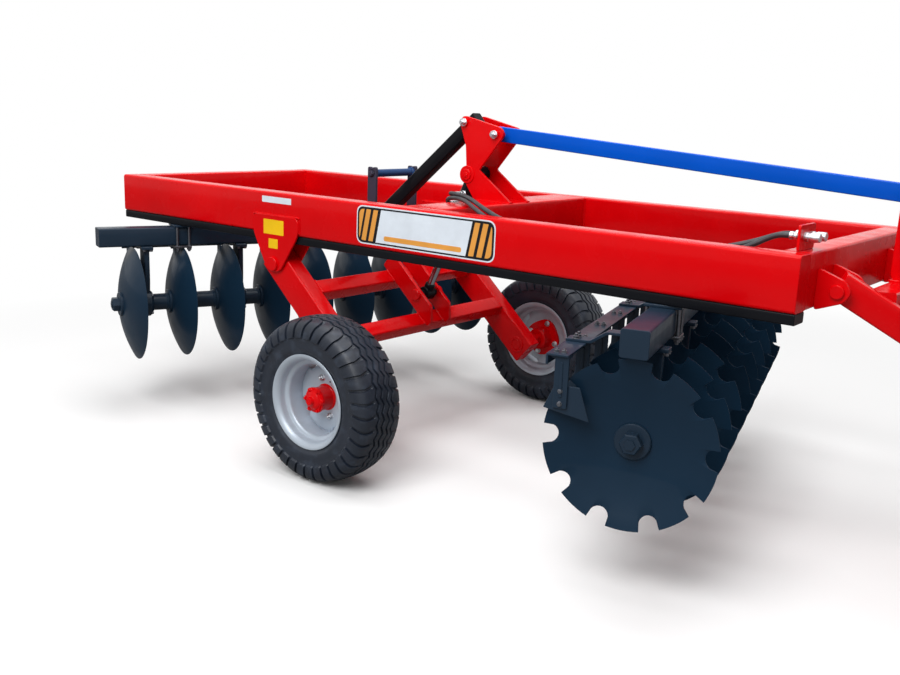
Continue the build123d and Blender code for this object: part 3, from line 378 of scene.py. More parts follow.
def nurbs(points: list[Point], resolution: int = 12) -> np.ndarray:
    """Points along a smooth curve that has the given points as its controls.

    Args:
        points: the controls, in millimetres.
        resolution: points for each span.

    Returns:
        The curve's points in order, in millimetres.
    """
    curve = bpy.data.curves.new("route", "CURVE")
    curve.dimensions = "3D"
    spline = curve.splines.new("NURBS")
    spline.points.add(len(points) - 1)
    controls = np.column_stack((np.asarray(points, float), np.ones(len(points))))
    spline.points.foreach_set("co", controls.ravel())
    spline.order_u = 3
    spline.use_endpoint_u = True
    spline.resolution_u = resolution
    holder = bpy.data.objects.new("route", curve)
    mesh = bpy.data.meshes.new_from_object(holder)
    found = np.empty(len(mesh.vertices) * 3, np.float32)
    mesh.vertices.foreach_get("co", found)
    bpy.data.objects.remove(holder)
    bpy.data.curves.remove(curve)
    bpy.data.meshes.remove(mesh)
    return found.reshape(-1, 3).astype(float)


def bead(corners: list[Point], radius: float, closed: bool = False) -> Shell:
    """Weld bead: a rippled tube through evenly spaced points on the straight lines between corners.

    Args:
        corners: where the bead turns.
        radius: of the bead.
        closed: whether the last corner joins the first.

    Returns:
        The bead.
    """
    points = np.asarray(corners, float)
    points = np.vstack((points, points[:1])) if closed else points
    steps = np.linalg.norm(np.diff(points, axis=0), axis=1)
    ends = np.concatenate(([0.0], np.cumsum(steps)))
    count = max(int(ends[-1] / (2.2 * radius)) // 2 * 2, 4)
    at = np.linspace(0, ends[-1], count, endpoint=not closed)
    path = np.stack([np.interp(at, ends, points[:, axis]) for axis in range(3)], -1)
    return tube(path, radius, 8, closed, 0.14)


def bolts(points: list[Point], outward: Point, size: float, proud: float = 0.0) -> Shell:
    """Hexagon heads on washers.

    A washer is a turned ring and a head is a six-sided turned body with its top edge cut back.

    Args:
        points: seat of each bolt.
        outward: direction that the heads point.
        size: thread diameter.
        proud: length of bare thread past the head.

    Returns:
        All the bolts as one surface.
    """
    place = aimed((0.0, 0.0, 0.0), outward, UP if abs(outward[2]) < 0.9 else LEFT)
    rim, thick, wide, tall = 1.05 * size, 0.16 * size, 0.9 * size, 0.85 * size
    washer = [(0, -1.0), (rim, -1.0), (rim, thick * 0.7), (rim - thick * 0.4, thick), (0, thick)]
    head = [(wide, thick * 0.9), (wide, tall - 0.1 * size), (0.76 * size, tall), (0, tall)]
    parts = [lathe(washer, place, 20), lathe(head, place, 6)]
    if proud:
        core, tip = size / 2, tall + proud
        parts.append(lathe([(core, tall - 1), (core, tip - 1.5), (core - 1.5, tip), (0, tip)], place, 14))
    return joined(*parts).copies(np.asarray(points, float))


def linear(colour: Colour, gain: float = 1.0) -> tuple[float, float, float, float]:
    """Screen colour as linear light.

    Args:
        colour: red, green and blue from 0 to 255.
        gain: factor on the light.

    Returns:
        Red, green, blue and a full alpha, from 0 to 1.
    """
    share = np.asarray(colour, float) / 255
    light = np.where(share <= 0.04045, share / 12.92, ((share + 0.055) / 1.055) ** 2.4) * gain
    return (*np.clip(light, 0, 1).tolist(), 1.0)


def fill(tree: bpy.types.NodeTree, node: bpy.types.Node, **values: object) -> None:
    """Set a node's inputs by name, with _ for a space.

    Args:
        tree: the tree that holds the node.
        node: the node.
        values: for each input a constant, or another node's output to link.
    """
    for name, value in values.items():
        socket = node.inputs[name.replace("_", " ")]
        if isinstance(value, Socket):
            tree.links.new(value, socket)
        else:
            socket.default_value = value


def added(tree: bpy.types.NodeTree, kind: str, **values: object) -> bpy.types.Node:
    """Add a node and set its inputs.

    Args:
        tree: where it goes.
        kind: its type, without the prefix of all shader nodes.
        values: its inputs by name, as fill takes them.

    Returns:
        The node.
    """
    node = tree.nodes.new(f"ShaderNode{kind}")
    fill(tree, node, **values)
    return node


def combined(tree: bpy.types.NodeTree, operation: str, first: Socket, second: Socket) -> Socket:
    """Work out one value from two.

    Args:
        tree: where the node goes.
        operation: the sum to do.
        first: the first value.
        second: the second value.

    Returns:
        The result.
    """
    node = tree.nodes.new("ShaderNodeMath")
    node.operation = operation
    tree.links.new(first, node.inputs[0])
    tree.links.new(second, node.inputs[1])
    return node.outputs["Value"]


class Graph:
    """A material's node tree around one Principled shader, with patterns on the piece's own coordinates."""

    def __init__(self, name: str) -> None:
        """Start an empty material.

        Args:
            name: the material's name.
        """
        self.material = bpy.data.materials.new(name)
        self.material.use_nodes = True
        self.tree = self.material.node_tree
        self.shader = self.tree.nodes["Principled BSDF"]
        self.coords = added(self.tree, "TexCoord").outputs["Object"]

    def shade(self, **values: object) -> None:
        """Set the shader's sockets by name, with _ for a space, to constants or patterns."""
        fill(self.tree, self.shader, **values)

    def noise(self, scale: float, detail: float) -> Socket:
        """Cloudy pattern with a number of cells in a metre and a number of finer layers."""
        return added(self.tree, "TexNoise", Vector=self.coords, Scale=scale, Detail=detail).outputs["Fac"]

    def cells(self, scale: float) -> Socket:
        """Crystal pattern: the distance to the nearest of scattered points."""
        return added(self.tree, "TexVoronoi", Vector=self.coords, Scale=scale).outputs["Distance"]

    def ranged(self, source: Socket, low: float, high: float, to_low: float, to_high: float) -> Socket:
        """Carry a pattern from one range of values to another, held at both ends.

        Args:
            source: the pattern.
            low: its value that becomes to_low.
            high: its value that becomes to_high.
            to_low: the new value at the low end.
            to_high: the new value at the high end.

        Returns:
            The new pattern.
        """
        span = {"From_Min": low, "From_Max": high, "To_Min": to_low, "To_Max": to_high}
        return added(self.tree, "MapRange", Value=source, **span).outputs["Result"]

    def spread(self, scale: float, detail: float, low: float, high: float) -> Socket:
        """Cloudy pattern whose middle, from 0.3 to 0.7, fills a range of values."""
        return self.ranged(self.noise(scale, detail), 0.3, 0.7, low, high)

    def tint(self, factor: Socket, first: object, second: object) -> Socket:
        """Blend two colours by a pattern.

        Args:
            factor: the pattern.
            first: colour, or socket of colour, where the pattern is 0.
            second: the same where the pattern is 1.

        Returns:
            The blended colour.
        """
        node = added(self.tree, "Mix")
        node.data_type = "RGBA"
        fill(self.tree, node, Factor=factor)
        for name, value in (("A", first), ("B", second)):
            socket = [s for s in node.inputs if s.name == name and s.type == "RGBA"][0]
            if isinstance(value, tuple):
                socket.default_value = value
            else:
                self.tree.links.new(value, socket)
        return [s for s in node.outputs if s.type == "RGBA"][0]

    def clouded(self, scale: float, detail: float, colour: Colour, dark: float, light: float) -> Socket:
        """Colour that wanders between two gains.

        Args:
            scale: cells of the pattern in a metre.
            detail: finer layers of the pattern.
            colour: the colour from 0 to 255.
            dark: the lower gain.
            light: the upper gain.

        Returns:
            The colour.
        """
        return self.tint(self.spread(scale, detail, 0, 1), linear(colour, dark), linear(colour, light))

    def bump(self, source: Socket, strength: float, distance: float) -> None:
        """Raise the surface by a pattern, with a strength from 0 to 1 over a distance in metres."""
        node = added(self.tree, "Bump", Height=source, Strength=strength, Distance=distance)
        self.shade(Normal=node.outputs["Normal"])


@dataclass(frozen=True)
class Enamel:
    """Sprayed gloss paint: cloudy film thickness, orange peel and a thin clear coat."""

    name: str
    colour: Colour
    slot: str | None = None
    roughness: float = 0.3
    gloss: float = 0.09
    peel: float = 0.08

    def build(self) -> bpy.types.Material:
        """Make the material.

        Returns:
            The material.
        """
        graph = Graph(self.name)
        film = graph.clouded(2.3, 4, self.colour, 0.9, 1.06)
        specks = graph.ranged(graph.noise(55, 5), 0.66, 0.8, 0, 0.3)
        graph.shade(
            Base_Color=graph.tint(specks, film, linear(self.colour, 0.72)),
            Roughness=graph.spread(9, 5, self.roughness - 0.07, self.roughness + 0.09),
            Coat_Weight=self.gloss,
            Coat_Roughness=0.06,
            Specular_IOR_Level=self.gloss,
        )
        graph.bump(graph.noise(260, 2), self.peel, 0.0006)
        return graph.material


@dataclass(frozen=True)
class Rubber:
    """Moulded rubber: mottled, with clouds of a dust colour and a fine grain; on the tyre that colour is a
    bluish grey of painted sheen.
    """

    name: str
    colour: Colour
    slot: str | None = None
    dust_and_sheen: Colour = (92, 88, 84)
    grain: float = 330.0

    def build(self) -> bpy.types.Material:
        """Make the material.

        Returns:
            The material.
        """
        graph = Graph(self.name)
        mottle = graph.clouded(7, 6, self.colour, 0.75, 1.3)
        # Clouds of the dust colour: real dust on the hose and the clips, painted sheen on the tyre.
        cloud = graph.ranged(graph.noise(18, 7), 0.52, 0.8, 0.0, 0.35)
        graph.shade(
            Base_Color=graph.tint(cloud, mottle, linear(self.dust_and_sheen)),
            Roughness=graph.spread(30, 4, 0.36, 0.56),
            Specular_IOR_Level=0.42,
        )
        graph.bump(graph.noise(self.grain, 3), 0.2, 0.0008)
        return graph.material


@dataclass(frozen=True)
class Silver:
    """Silver wheel paint: fine metal flake under a satin film."""

    name: str
    colour: Colour
    slot: str | None = None
    metallic: float = 0.35

    def build(self) -> bpy.types.Material:
        """Make the material.

        Returns:
            The material.
        """
        graph = Graph(self.name)
        film = graph.clouded(5, 4, self.colour, 0.86, 1.1)
        flake = graph.ranged(graph.cells(900), 0.1, 0.6, 0.0, 0.18)
        graph.shade(
            Base_Color=graph.tint(flake, film, linear(self.colour, 1.35)),
            Roughness=graph.spread(22, 5, 0.3, 0.44),
            Metallic=self.metallic,
            Coat_Weight=0.08,
            Coat_Roughness=0.2,
            Specular_IOR_Level=0.3,
        )
        graph.bump(graph.noise(420, 2), 0.08, 0.0005)
        return graph.material


@dataclass(frozen=True)
class BareMetal:
    """Plated or polished steel: crystal spangle over a metal base."""

    name: str
    colour: Colour
    slot: str | None = None
    roughness: float = 0.34
    spangle: float = 0.12

    def build(self) -> bpy.types.Material:
        """Make the material.

        Returns:
            The material.
        """
        graph = Graph(self.name)
        grain = graph.ranged(graph.cells(160), 0.0, 0.7, 0, 1)
        dark, light = linear(self.colour, 1 - self.spangle), linear(self.colour, 1 + self.spangle)
        graph.shade(
            Base_Color=graph.tint(grain, dark, light),
            Roughness=graph.spread(60, 4, self.roughness * 0.75, self.roughness * 1.3),
            Metallic=1.0,
        )
        graph.bump(graph.noise(500, 2), self.spangle * 0.5, 0.0004)
        return graph.material


@dataclass(frozen=True)
class Film:
    """Printed film: flat ink, a faint cloud of dust and a smooth satin face."""

    name: str
    colour: Colour
    slot: str | None = None

    def build(self) -> bpy.types.Material:
        """Make the material.

        Returns:
            The material.
        """
        graph = Graph(self.name)
        cloud = graph.ranged(graph.noise(12, 6), 0.35, 0.75, 0, 1)
        graph.shade(
            Base_Color=graph.tint(cloud, linear(self.colour), linear(self.colour, 0.88)),
            Roughness=graph.spread(40, 3, 0.3, 0.42),
            Specular_IOR_Level=0.15,
        )
        graph.bump(graph.noise(160, 2), 0.05, 0.0004)
        return graph.material


class Finish(Enum):
    """Every finish on the machine."""

    RED = Enamel("red_enamel", (220, 2, 9), "red_paint", 0.24)
    BLACK = Enamel("black_enamel", (20, 21, 25), "black_paint", 0.34, 0.06)
    NAVY = Enamel("navy_enamel", (36, 66, 112), "navy_paint", 0.34)
    BLUE = Enamel("blue_enamel", (0, 86, 204), "blue_paint", 0.34, 0.07)
    SLATE = Enamel("slate_enamel", (30, 46, 62), "slate_paint", 0.36, 0.12)
    POST = Enamel("post_enamel", (62, 60, 76), "slate_paint", 0.42)
    DISC = Enamel("disc_enamel", (21, 43, 62), "disc_paint", 0.34, 0.08, 0.05)
    # The tyre's dust colour is a light bluish grey that stands for the sky's sheen on its lugs: painted
    # sheen, scattered in random clouds.
    TYRE = Rubber("tyre_rubber", (25, 32, 44), "tyre_rubber", (76, 88, 106))
    HOSE = Rubber("hose_rubber", (44, 45, 50), "hose_rubber", (84, 84, 86), 700.0)
    CLIP = Rubber("clip_plastic", (30, 31, 34), "clip_plastic", (60, 60, 62), 500.0)
    RIM = Silver("rim_silver", (174, 184, 195), "rim_paint", 0.25)
    ZINC = BareMetal("zinc_plate", (188, 190, 194), "zinc_steel")
    STEEL = BareMetal("dark_steel", (92, 94, 100), "zinc_steel", 0.42)
    CHROME = BareMetal("chrome_painted_dark_reflection", (150, 152, 158), "chrome_rod", 0.12, 0.03)
    # The chrome's colour is kept far darker than bright chrome to stand for the dark surroundings that it
    # mirrors: a painted dark reflection.
    WHITE = Film("white_film", (226, 234, 243))
    INK = Film("black_film", (28, 28, 32))
    ORANGE = Film("orange_film", (232, 160, 74))
    YELLOW = Film("yellow_film", (250, 200, 24))


MADE: dict[Finish, bpy.types.Material] = {}


def material(finish: Finish) -> bpy.types.Material:
    """Find a finish's material, which is made at its first use.

    Args:
        finish: the finish.

    Returns:
        Its material.
    """
    if finish not in MADE:
        MADE[finish] = finish.value.build()
    return MADE[finish]


def piece(
    name: str, shell: Shell, finish: Finish, body: str, *nodes: str, crease: float = 32.0
) -> bpy.types.Object:
    """Turn a surface into a dressed object that rides on a body.

    Corners that coincide are merged and the faces are turned outwards, then every edge sharper than the
    crease stays sharp and the rest is shaded smooth.

    Args:
        name: the object's name.
        shell: the surface, in millimetres from the wheel axle.
        finish: what it is painted or plated with.
        body: the body that it moves with, or nothing for a piece that blends between two.
        nodes: the frame's nodes that it stands for.
        crease: angle in degrees.

    Returns:
        The object.
    """
    mesh = bpy.data.meshes.new(name)
    rows = [row for face in shell.faces for row in face.tolist()]
    mesh.from_pydata(metres(shell.verts).tolist(), [], rows)
    cleaned = bmesh.new()
    cleaned.from_mesh(mesh)
    bmesh.ops.remove_doubles(cleaned, verts=cleaned.verts, dist=MERGE_DISTANCE)
    bmesh.ops.recalc_face_normals(cleaned, faces=cleaned.faces)
    cleaned.to_mesh(mesh)
    cleaned.free()
    mesh.polygons.foreach_set("use_smooth", np.ones(len(mesh.polygons), bool))
    mesh.set_sharp_from_angle(angle=radians(crease))
    mesh.materials.append(material(finish))
    made = bpy.data.objects.new(name, mesh)
    bpy.context.scene.collection.objects.link(made)
    if body:
        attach(made, body)
    if nodes:
        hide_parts(*nodes)
    LOG.info("%s: %d faces on %s", name, len(mesh.polygons), body or "two bodies")
    return made


def repaint(finish: Finish, *nodes: str) -> None:
    """Give some of the frame's own nodes a finish.

    Args:
        finish: the finish.
        nodes: the nodes' names.
    """
    for node in nodes:
        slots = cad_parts[node].data.materials
        slots.clear()
        slots.append(material(finish))


@dataclass(frozen=True)
class MainFrame:
    """Side beams, rails, cross beams, pivot plates and the panels on the right beam."""

    rear: float = -1853.0
    front: float = 2000.0
    beam_w: float = 100.0
    beam_h: float = 200.0
    rail_w: float = 90.0
    rail_h: float = 40.0
    plate_t: float = 12.0
    panel_low: Flat = (-25.0, 1069.0)
    panel_high: Flat = (756.0, 1243.0)
    slant: float = 36.0
    film: float = 0.6

    @property
    def inner(self) -> float:
        """How far sideways a beam's inner face lies."""
        return BEAM_Y - self.beam_w / 2

    @property
    def outer(self) -> float:
        """How far sideways a beam's outer face lies."""
        return BEAM_Y + self.beam_w / 2

    def beams(self) -> None:
        """Two long red box beams with a black rail under each."""
        middle = FRAME_TOP - self.beam_h / 2
        low = FRAME_TOP - self.beam_h - self.rail_h / 2
        rails = []
        for name, y in (("right_beam", -BEAM_Y), ("left_beam", BEAM_Y)):
            shell = bar((self.rear, y, middle), (self.front, y, middle), self.beam_w, self.beam_h, 13)
            piece(f"{name}_tube", shell, Finish.RED, "frame", name)
            rails.append(bar((self.rear, y, low), (self.front, y, low), self.rail_w, self.rail_h, 6))
        piece("under_rail_tubes", joined(*rails), Finish.BLACK, "frame", "under_rails")

    def cross_beams(self) -> None:
        """Box tubes between the side beams, with a weld bead up the open sides of both ends."""
        welds = []
        for name, x, width, top, height, reach, seams in (
            ("front_cross_beam", 1950.0, 100.0, FRAME_TOP, 200.0, self.inner, (-1,)),
            ("middle_cross_beam", 285.0, 210.0, FRAME_TOP, 160.0, self.inner, (-1, 1)),
            ("rear_cross_beam", -1803.0, 100.0, FRAME_TOP, 200.0, self.inner, (1,)),
            ("brace_cross_tube", -465.0, 100.0, 1142.0, 60.0, self.inner - self.plate_t, (-1, 1)),
        ):
            middle = top - height / 2
            shell = bar((x, -reach, middle), (x, reach, middle), width, height, 9, edge=0.5)
            piece(f"{name}_tube", shell, Finish.RED, "frame", name)
            for y in (-reach, reach):
                for side in seams:
                    edge = x + side * (width / 2 + 1)
                    welds.append(bead([(edge, y, top - height + 4), (edge, y, top - 5)], 5))
        piece("cross_beam_welds", joined(*welds), Finish.RED, "frame", crease=WELD_CREASE)

    def pivot_plates(self) -> None:
        """Plates that hang the carriage, with round tips and a weld bead along their upper edges."""
        x, z = PIVOT
        lead, half = x + 12.5, 162.5
        head, waist, tip = FRAME_TOP - 111, FRAME_TOP - 196, z - 38
        corners = [(lead - half, head), (lead + half, head), (lead + half, waist)]
        corners += [(x + 44, tip), (x - 44, tip), (lead - half, waist)]
        outline = rounded(corners, 34)
        starts = (self.outer + self.plate_t, self.inner, self.plate_t - self.inner, -self.outer)
        plates = [plate(outline, side_on(y), self.plate_t, 2) for y in starts]
        piece("pivot_plates", joined(*plates), Finish.RED, "frame", "pivot_brackets")
        line = [(lead - 164, head - 75), (lead - 164, head - 2), (lead - 150, head + 1)]
        line += [(lead + 150, head + 1), (lead + 164, head - 2), (lead + 164, head - 75)]
        faces = (self.outer + 2, self.inner - 2, 2 - self.inner, -self.outer - 2)
        welds = [bead([(a, y, b) for a, b in line], 4.5) for y in faces]
        piece("pivot_plate_welds", joined(*welds), Finish.RED, "frame", crease=WELD_CREASE)

    def cut(self, shape: np.ndarray, line: float, side: int) -> np.ndarray:
        """Part of a convex outline on one side of a line that leans from the panel's foot to its head.

        A point stays where its distance past the line, times the side, isn't negative. Where an edge crosses
        the line, the crossing joins the outline.

        Args:
            shape: the outline.
            line: where the line starts, at the panel's foot.
            side: 1 to keep what lies in front of the line, -1 to keep what lies behind it.

        Returns:
            The part.
        """
        foot, head = self.panel_low[1], self.panel_high[1]
        past = side * (shape[:, 0] - line - self.slant * (shape[:, 1] - foot) / (head - foot))
        next_past = np.roll(past, -1)
        crossing = past * next_past < 0
        share = past / np.where(crossing, past - next_past, 1.0)
        met = shape + (np.roll(shape, -1, 0) - shape) * share[:, None]
        return np.stack((shape, met), 1).reshape(-1, 2)[np.stack((past >= 0, crossing), 1).ravel()]

    def band(self, shape: np.ndarray, first: float, last: float) -> np.ndarray:
        """Part of an outline between two leaning lines."""
        return self.cut(self.cut(shape, first, 1), last, -1)

    def panels(self) -> None:
        """Plain panel with slanted stripes at both ends, two yellow plates and one white strip."""
        face = -self.outer
        (x0, z0), (x1, z1) = self.panel_low, self.panel_high

        def slab(outline: np.ndarray, lift: float, y: float = face) -> Shell:
            """Thin film whose back lies at a lift from the face."""
            return plate(outline, side_on(y - lift), self.film, self.film / 4)

        def sheet(low: Flat, high: Flat, corner: float) -> np.ndarray:
            """Round-cornered rectangle between two corners."""
            return rounded([low, (high[0], low[1]), high, (low[0], high[1])], corner, 9)

        def within(margin: float, corner: float) -> np.ndarray:
            """The panel's outline moved in by a margin."""
            return sheet((x0 + margin, z0 + margin), (x1 - margin, z1 - margin), corner)

        piece("side_panel", slab(within(0, 40), 0.0), Finish.WHITE, "frame")
        line, centre, field = within(6, 36), within(13, 31), within(16, 29)
        border = rings_at(side_on(face), [(line, 0.5), (line, 1.0), (centre, 1.0), (centre, 0.5)])
        left, right = x0 + 13, x1 - 13
        blocks = ((left - 40, left + 102), (right - 140, right))
        inks = [loft(border, True), *(slab(self.band(centre, a, b), 0.5) for a, b in blocks)]
        spans = [(left - 40, left + 2), (left + 15, left + 42), (left + 58, left + 85)]
        spans += [(right - 126, right - 99), (right - 83, right - 56), (right - 40, right)]
        stripes = [slab(self.band(field, a, b), 1.0) for a, b in spans]
        stripes.append(slab(sheet((x0 + 168, z0 + 25), (x0 + 607, z0 + 47), 10), 0.5))
        piece("side_panel_lines", joined(*inks), Finish.INK, "frame")
        piece("side_panel_stripes", joined(*stripes), Finish.ORANGE, "frame")
        outlines = (sheet((-650, 1047), (-505, 1119), 4), sheet((-613, 978), (-547, 1025), 4))
        plates = [slab(outline, 0, face - self.plate_t) for outline in outlines]
        piece("yellow_plates", joined(*plates), Finish.YELLOW, "frame")
        piece("white_strip", slab(sheet((-674, 1200), (-464, 1230), 3), 0), Finish.WHITE, "frame")

    def build(self) -> None:
        """Make all of it."""
        self.beams()
        self.cross_beams()
        self.pivot_plates()
        self.panels()


@dataclass(frozen=True)
class Tower:
    """Two tower plates, the black brace, the posts with their bar, the blue tie bar and the frame's pins."""

    spread: float = 160.0
    thick: float = 15.0
    brace_pin: Flat = (92.0, 1622.0)
    brace_foot: Flat = (-468.0, 1142.0)
    tie_pin: Flat = (278.0, 1571.0)
    mast_pin: Flat = (2170.0, 1437.0)
    post_x: float = -440.0
    post_half: float = 166.0
    post_t: float = 16.0
    post_top: float = 1374.0
    bar_z: float = 1341.0

    def plates(self) -> None:
        """Hourglass plates with eased corners, boss rings and a weld bead along both faces of each foot."""
        corners = [(164, FRAME_TOP), (388, FRAME_TOP), (188, 1398), (305, 1542), (319, 1558), (323, 1574)]
        corners += [(318, 1592), (303, 1605), (98, 1652), (78, 1650), (64, 1634), (62, 1614)]
        corners += [(101, 1510), (110, 1404), (82, 1366)]
        outline = rounded(corners, 9)
        boss = [(0, -16), (43, -16), (43, 4.5), (41, 6.5), (30, 6.5), (28, 5), (0, 5)]
        x, z = BARREL_PIN
        half, low = self.spread / 2, FRAME_TOP + 1
        shells, welds = [], []
        for y, side in ((half, 1), (self.thick - half, -1)):
            seat = side * half
            shells.append(plate(outline, side_on(y), self.thick, 2))
            shells.append(lathe(boss, aimed((x, seat, z), (0, side, 0)), 40))
            for face in (seat, seat - side * self.thick):
                welds.append(bead([(182, face, low), (385, face, low)], 5))
        piece("tower_sides", joined(*shells), Finish.RED, "frame", "tower_plates")
        piece("tower_welds", joined(*welds), Finish.RED, "frame", crease=WELD_CREASE)

    def links(self) -> None:
        """Brace tube, cut level at its foot, and the tie bar."""
        (bx, bz), (fx, fz) = self.brace_pin, self.brace_foot
        start = np.array((bx, 0, bz)) - unit((fx - bx, 0, fz - bz)) * 34
        brace = bar(tuple(start), (fx, 0, fz), 64, 64, 7, cuts=(None, ((0, 0, fz - 1), UP)))
        piece("brace_tube", brace, Finish.BLACK, "frame", "brace")
        (tx, tz), (mx, mz) = self.tie_pin, self.mast_pin
        past = unit((mx - tx, 0, mz - tz)) * 40
        ends = (np.array((tx, 0, tz)) - past, np.array((mx, 0, mz)) + past)
        piece("tie_tube", bar(*map(tuple, ends), 40, 70, 5), Finish.BLUE, "frame", "tie_bar")

    def posts(self) -> None:
        """Posts with a dip in their heads, the rod between them, and its nuts and welds."""
        x, half, thick = self.post_x, self.post_half, self.post_t
        top, foot = self.post_top, self.brace_foot[1]
        corners = [(x - 30, foot), (x + 30, foot), (x + 30, top), (x + 9, top), (x, top - 7), (x - 9, top)]
        outline = rounded([*corners, (x - 30, top)], 12)
        shells = [plate(outline, side_on(y), thick, 2) for y in (half, thick - half)]
        piece("rest_post_plates", joined(*shells), Finish.POST, "frame", "rest_posts")
        end = [(0, 0), (20, 0), (20, 16), (25, 16), (27, 18), (27, 28), (25, 30), (20, 32)]
        rod = lathe(mirrored(end, 2 * half), aimed((x, -half, self.bar_z), LEFT), 32)
        piece("rest_rod", rod, Finish.NAVY, "frame", "rest_bar")
        fixings = [bolts([(x, side * half, self.bar_z)], (0, side, 0), 16) for side in (1, -1)]
        for edge in (x - 28, x + 28):
            for y in (-half, half - thick):
                fixings.append(bead([(edge, y, foot + 1), (edge, y + thick, foot + 1)], 4))
        piece("rest_post_nuts", joined(*fixings), Finish.POST, "frame")

    def pins(self) -> None:
        """Round pins with chamfered heads, and the bolts and washers that hold them."""
        lug_x, lug_y, lug_z = DRAWBAR_PIN
        shells = []
        for (x, z), y, half, radius in (
            (BARREL_PIN, 0.0, 80.0, 20.0),
            (self.brace_pin, 0.0, 80.0, 15.0),
            (self.tie_pin, 0.0, 80.0, 15.0),
            (self.mast_pin, 0.0, 55.0, 15.0),
            (PIVOT, BEAM_Y, 62.0, 25.0),
            (PIVOT, -BEAM_Y, 62.0, 25.0),
            ((lug_x, lug_z), lug_y, 92.0, 18.0),
            ((lug_x, lug_z), -lug_y, 92.0, 18.0),
        ):
            head = radius * 1.4
            end = [(0, -13), (head - 3, -13), (head, -10), (head, 0), (radius, 0)]
            shells.append(lathe(mirrored(end, 2 * half), aimed((x, y - half, z), LEFT), 28))
        piece("pivot_pins", joined(*shells), Finish.RED, "frame", "frame_pins")
        near, far = ([(x, y, z) for x, z in (self.brace_pin, self.tie_pin)] for y in (-93.0, 93.0))
        piece("tower_nuts", joined(bolts(near, RIGHT, 19, 8), bolts(far, LEFT, 19)), Finish.ZINC, "frame")
        x, z = BARREL_PIN
        ends = [bolts([(x, side * 86.0, z)], (0, side, 0), 15) for side in (-1, 1)]
        piece("barrel_pin_bolts", joined(*ends), Finish.RED, "frame")

    def build(self) -> None:
        """Make all of it."""
        self.plates()
        self.links()
        self.posts()
        self.pins()


@dataclass(frozen=True)
class Drawbar:
    """Lugs on the front cross beam, two legs, cross tube, mast, nose and tongue."""

    nose_end: Point = (3070.0, 70.0, 520.0)
    leg_w: float = 100.0
    mast_x: float = 2170.0
    mast_top: float = 1482.0
    nose_rear: float = 2960.0
    nose_front: float = 3400.0
    nose_w: float = 140.0
    nose_h: float = 150.0

    def build(self) -> None:
        """Make the drawbar from round-cornered tubes and bevelled plates."""
        pin, end = np.array(DRAWBAR_PIN), np.array(self.nose_end)
        ahead = unit(end - pin)
        legs = []
        for side in (1, -1):
            flip = np.array((1, side, 1))
            start, stop = (pin - ahead * 30) * flip, (end + ahead * 20) * flip
            wall = ((0, side * (self.nose_w / 2 - 3), 0), LEFT)
            legs.append(bar(tuple(start), tuple(stop), self.leg_w, self.leg_w, 10, cuts=(None, wall)))
        piece("drawbar_leg_tubes", joined(*legs), Finish.RED, "frame", "drawbar_legs")
        _, splay, slope = (end - pin) / (end[0] - pin[0])
        x = self.mast_x
        z = pin[2] + slope * (x - pin[0])
        wide = self.leg_w / 2 * hypot(1, splay)
        reach = pin[1] + splay * (x - pin[0]) - wide
        across = unit(np.cross(UP, ahead))
        cuts = (((x, -reach, z), across * (1, -1, 1)), ((x, reach, z), across))
        cross = bar((x, -reach, z), (x, reach, z), self.leg_w, self.leg_w, 10, cuts=cuts, edge=0.5)
        piece("drawbar_cross_box", cross, Finish.RED, "frame", "drawbar_cross_tube")
        lugs = []
        inner = wide + 30 * abs(splay) + 12
        outline = rounded([(2000, 1045), (2098, 1082), (2122, 1120), (2098, 1158), (2000, 1195)], 16)
        for y in (pin[1], -pin[1]):
            lugs += [plate(outline, side_on(start), 16, 2) for start in (y + inner + 16, y - inner)]
        piece("drawbar_lug_plates", joined(*lugs), Finish.RED, "frame", "drawbar_lugs")
        foot, top = z + self.leg_w / 2, self.mast_top
        shape = rounded([(x - 50, foot), (x + 50, foot), (x + 46, top), (x - 46, top)], 40, 8)
        mast = [plate(shape, side_on(y), 15, 2) for y in (55, -40)]
        base = bar((x, -70, foot + 3), (x, 70, foot + 3), 100, 10, 3)
        piece("mast_plates", joined(*mast, base), Finish.RED, "frame", "mast")
        nose = bar((self.nose_rear, 0, end[2]), (self.nose_front, 0, end[2]), self.nose_w, self.nose_h, 11)
        piece("nose_box", nose, Finish.RED, "frame", "drawbar_nose")
        seats = [(self.nose_front + 10, y, end[2] + lift) for y in (-52.0, 52.0) for lift in (-56.0, 56.0)]
        piece("tongue_bolts", bolts(seats, FORWARD, 16), Finish.ZINC, "frame")
        repaint(Finish.RED, "hitch_tongue", "jack_socket")


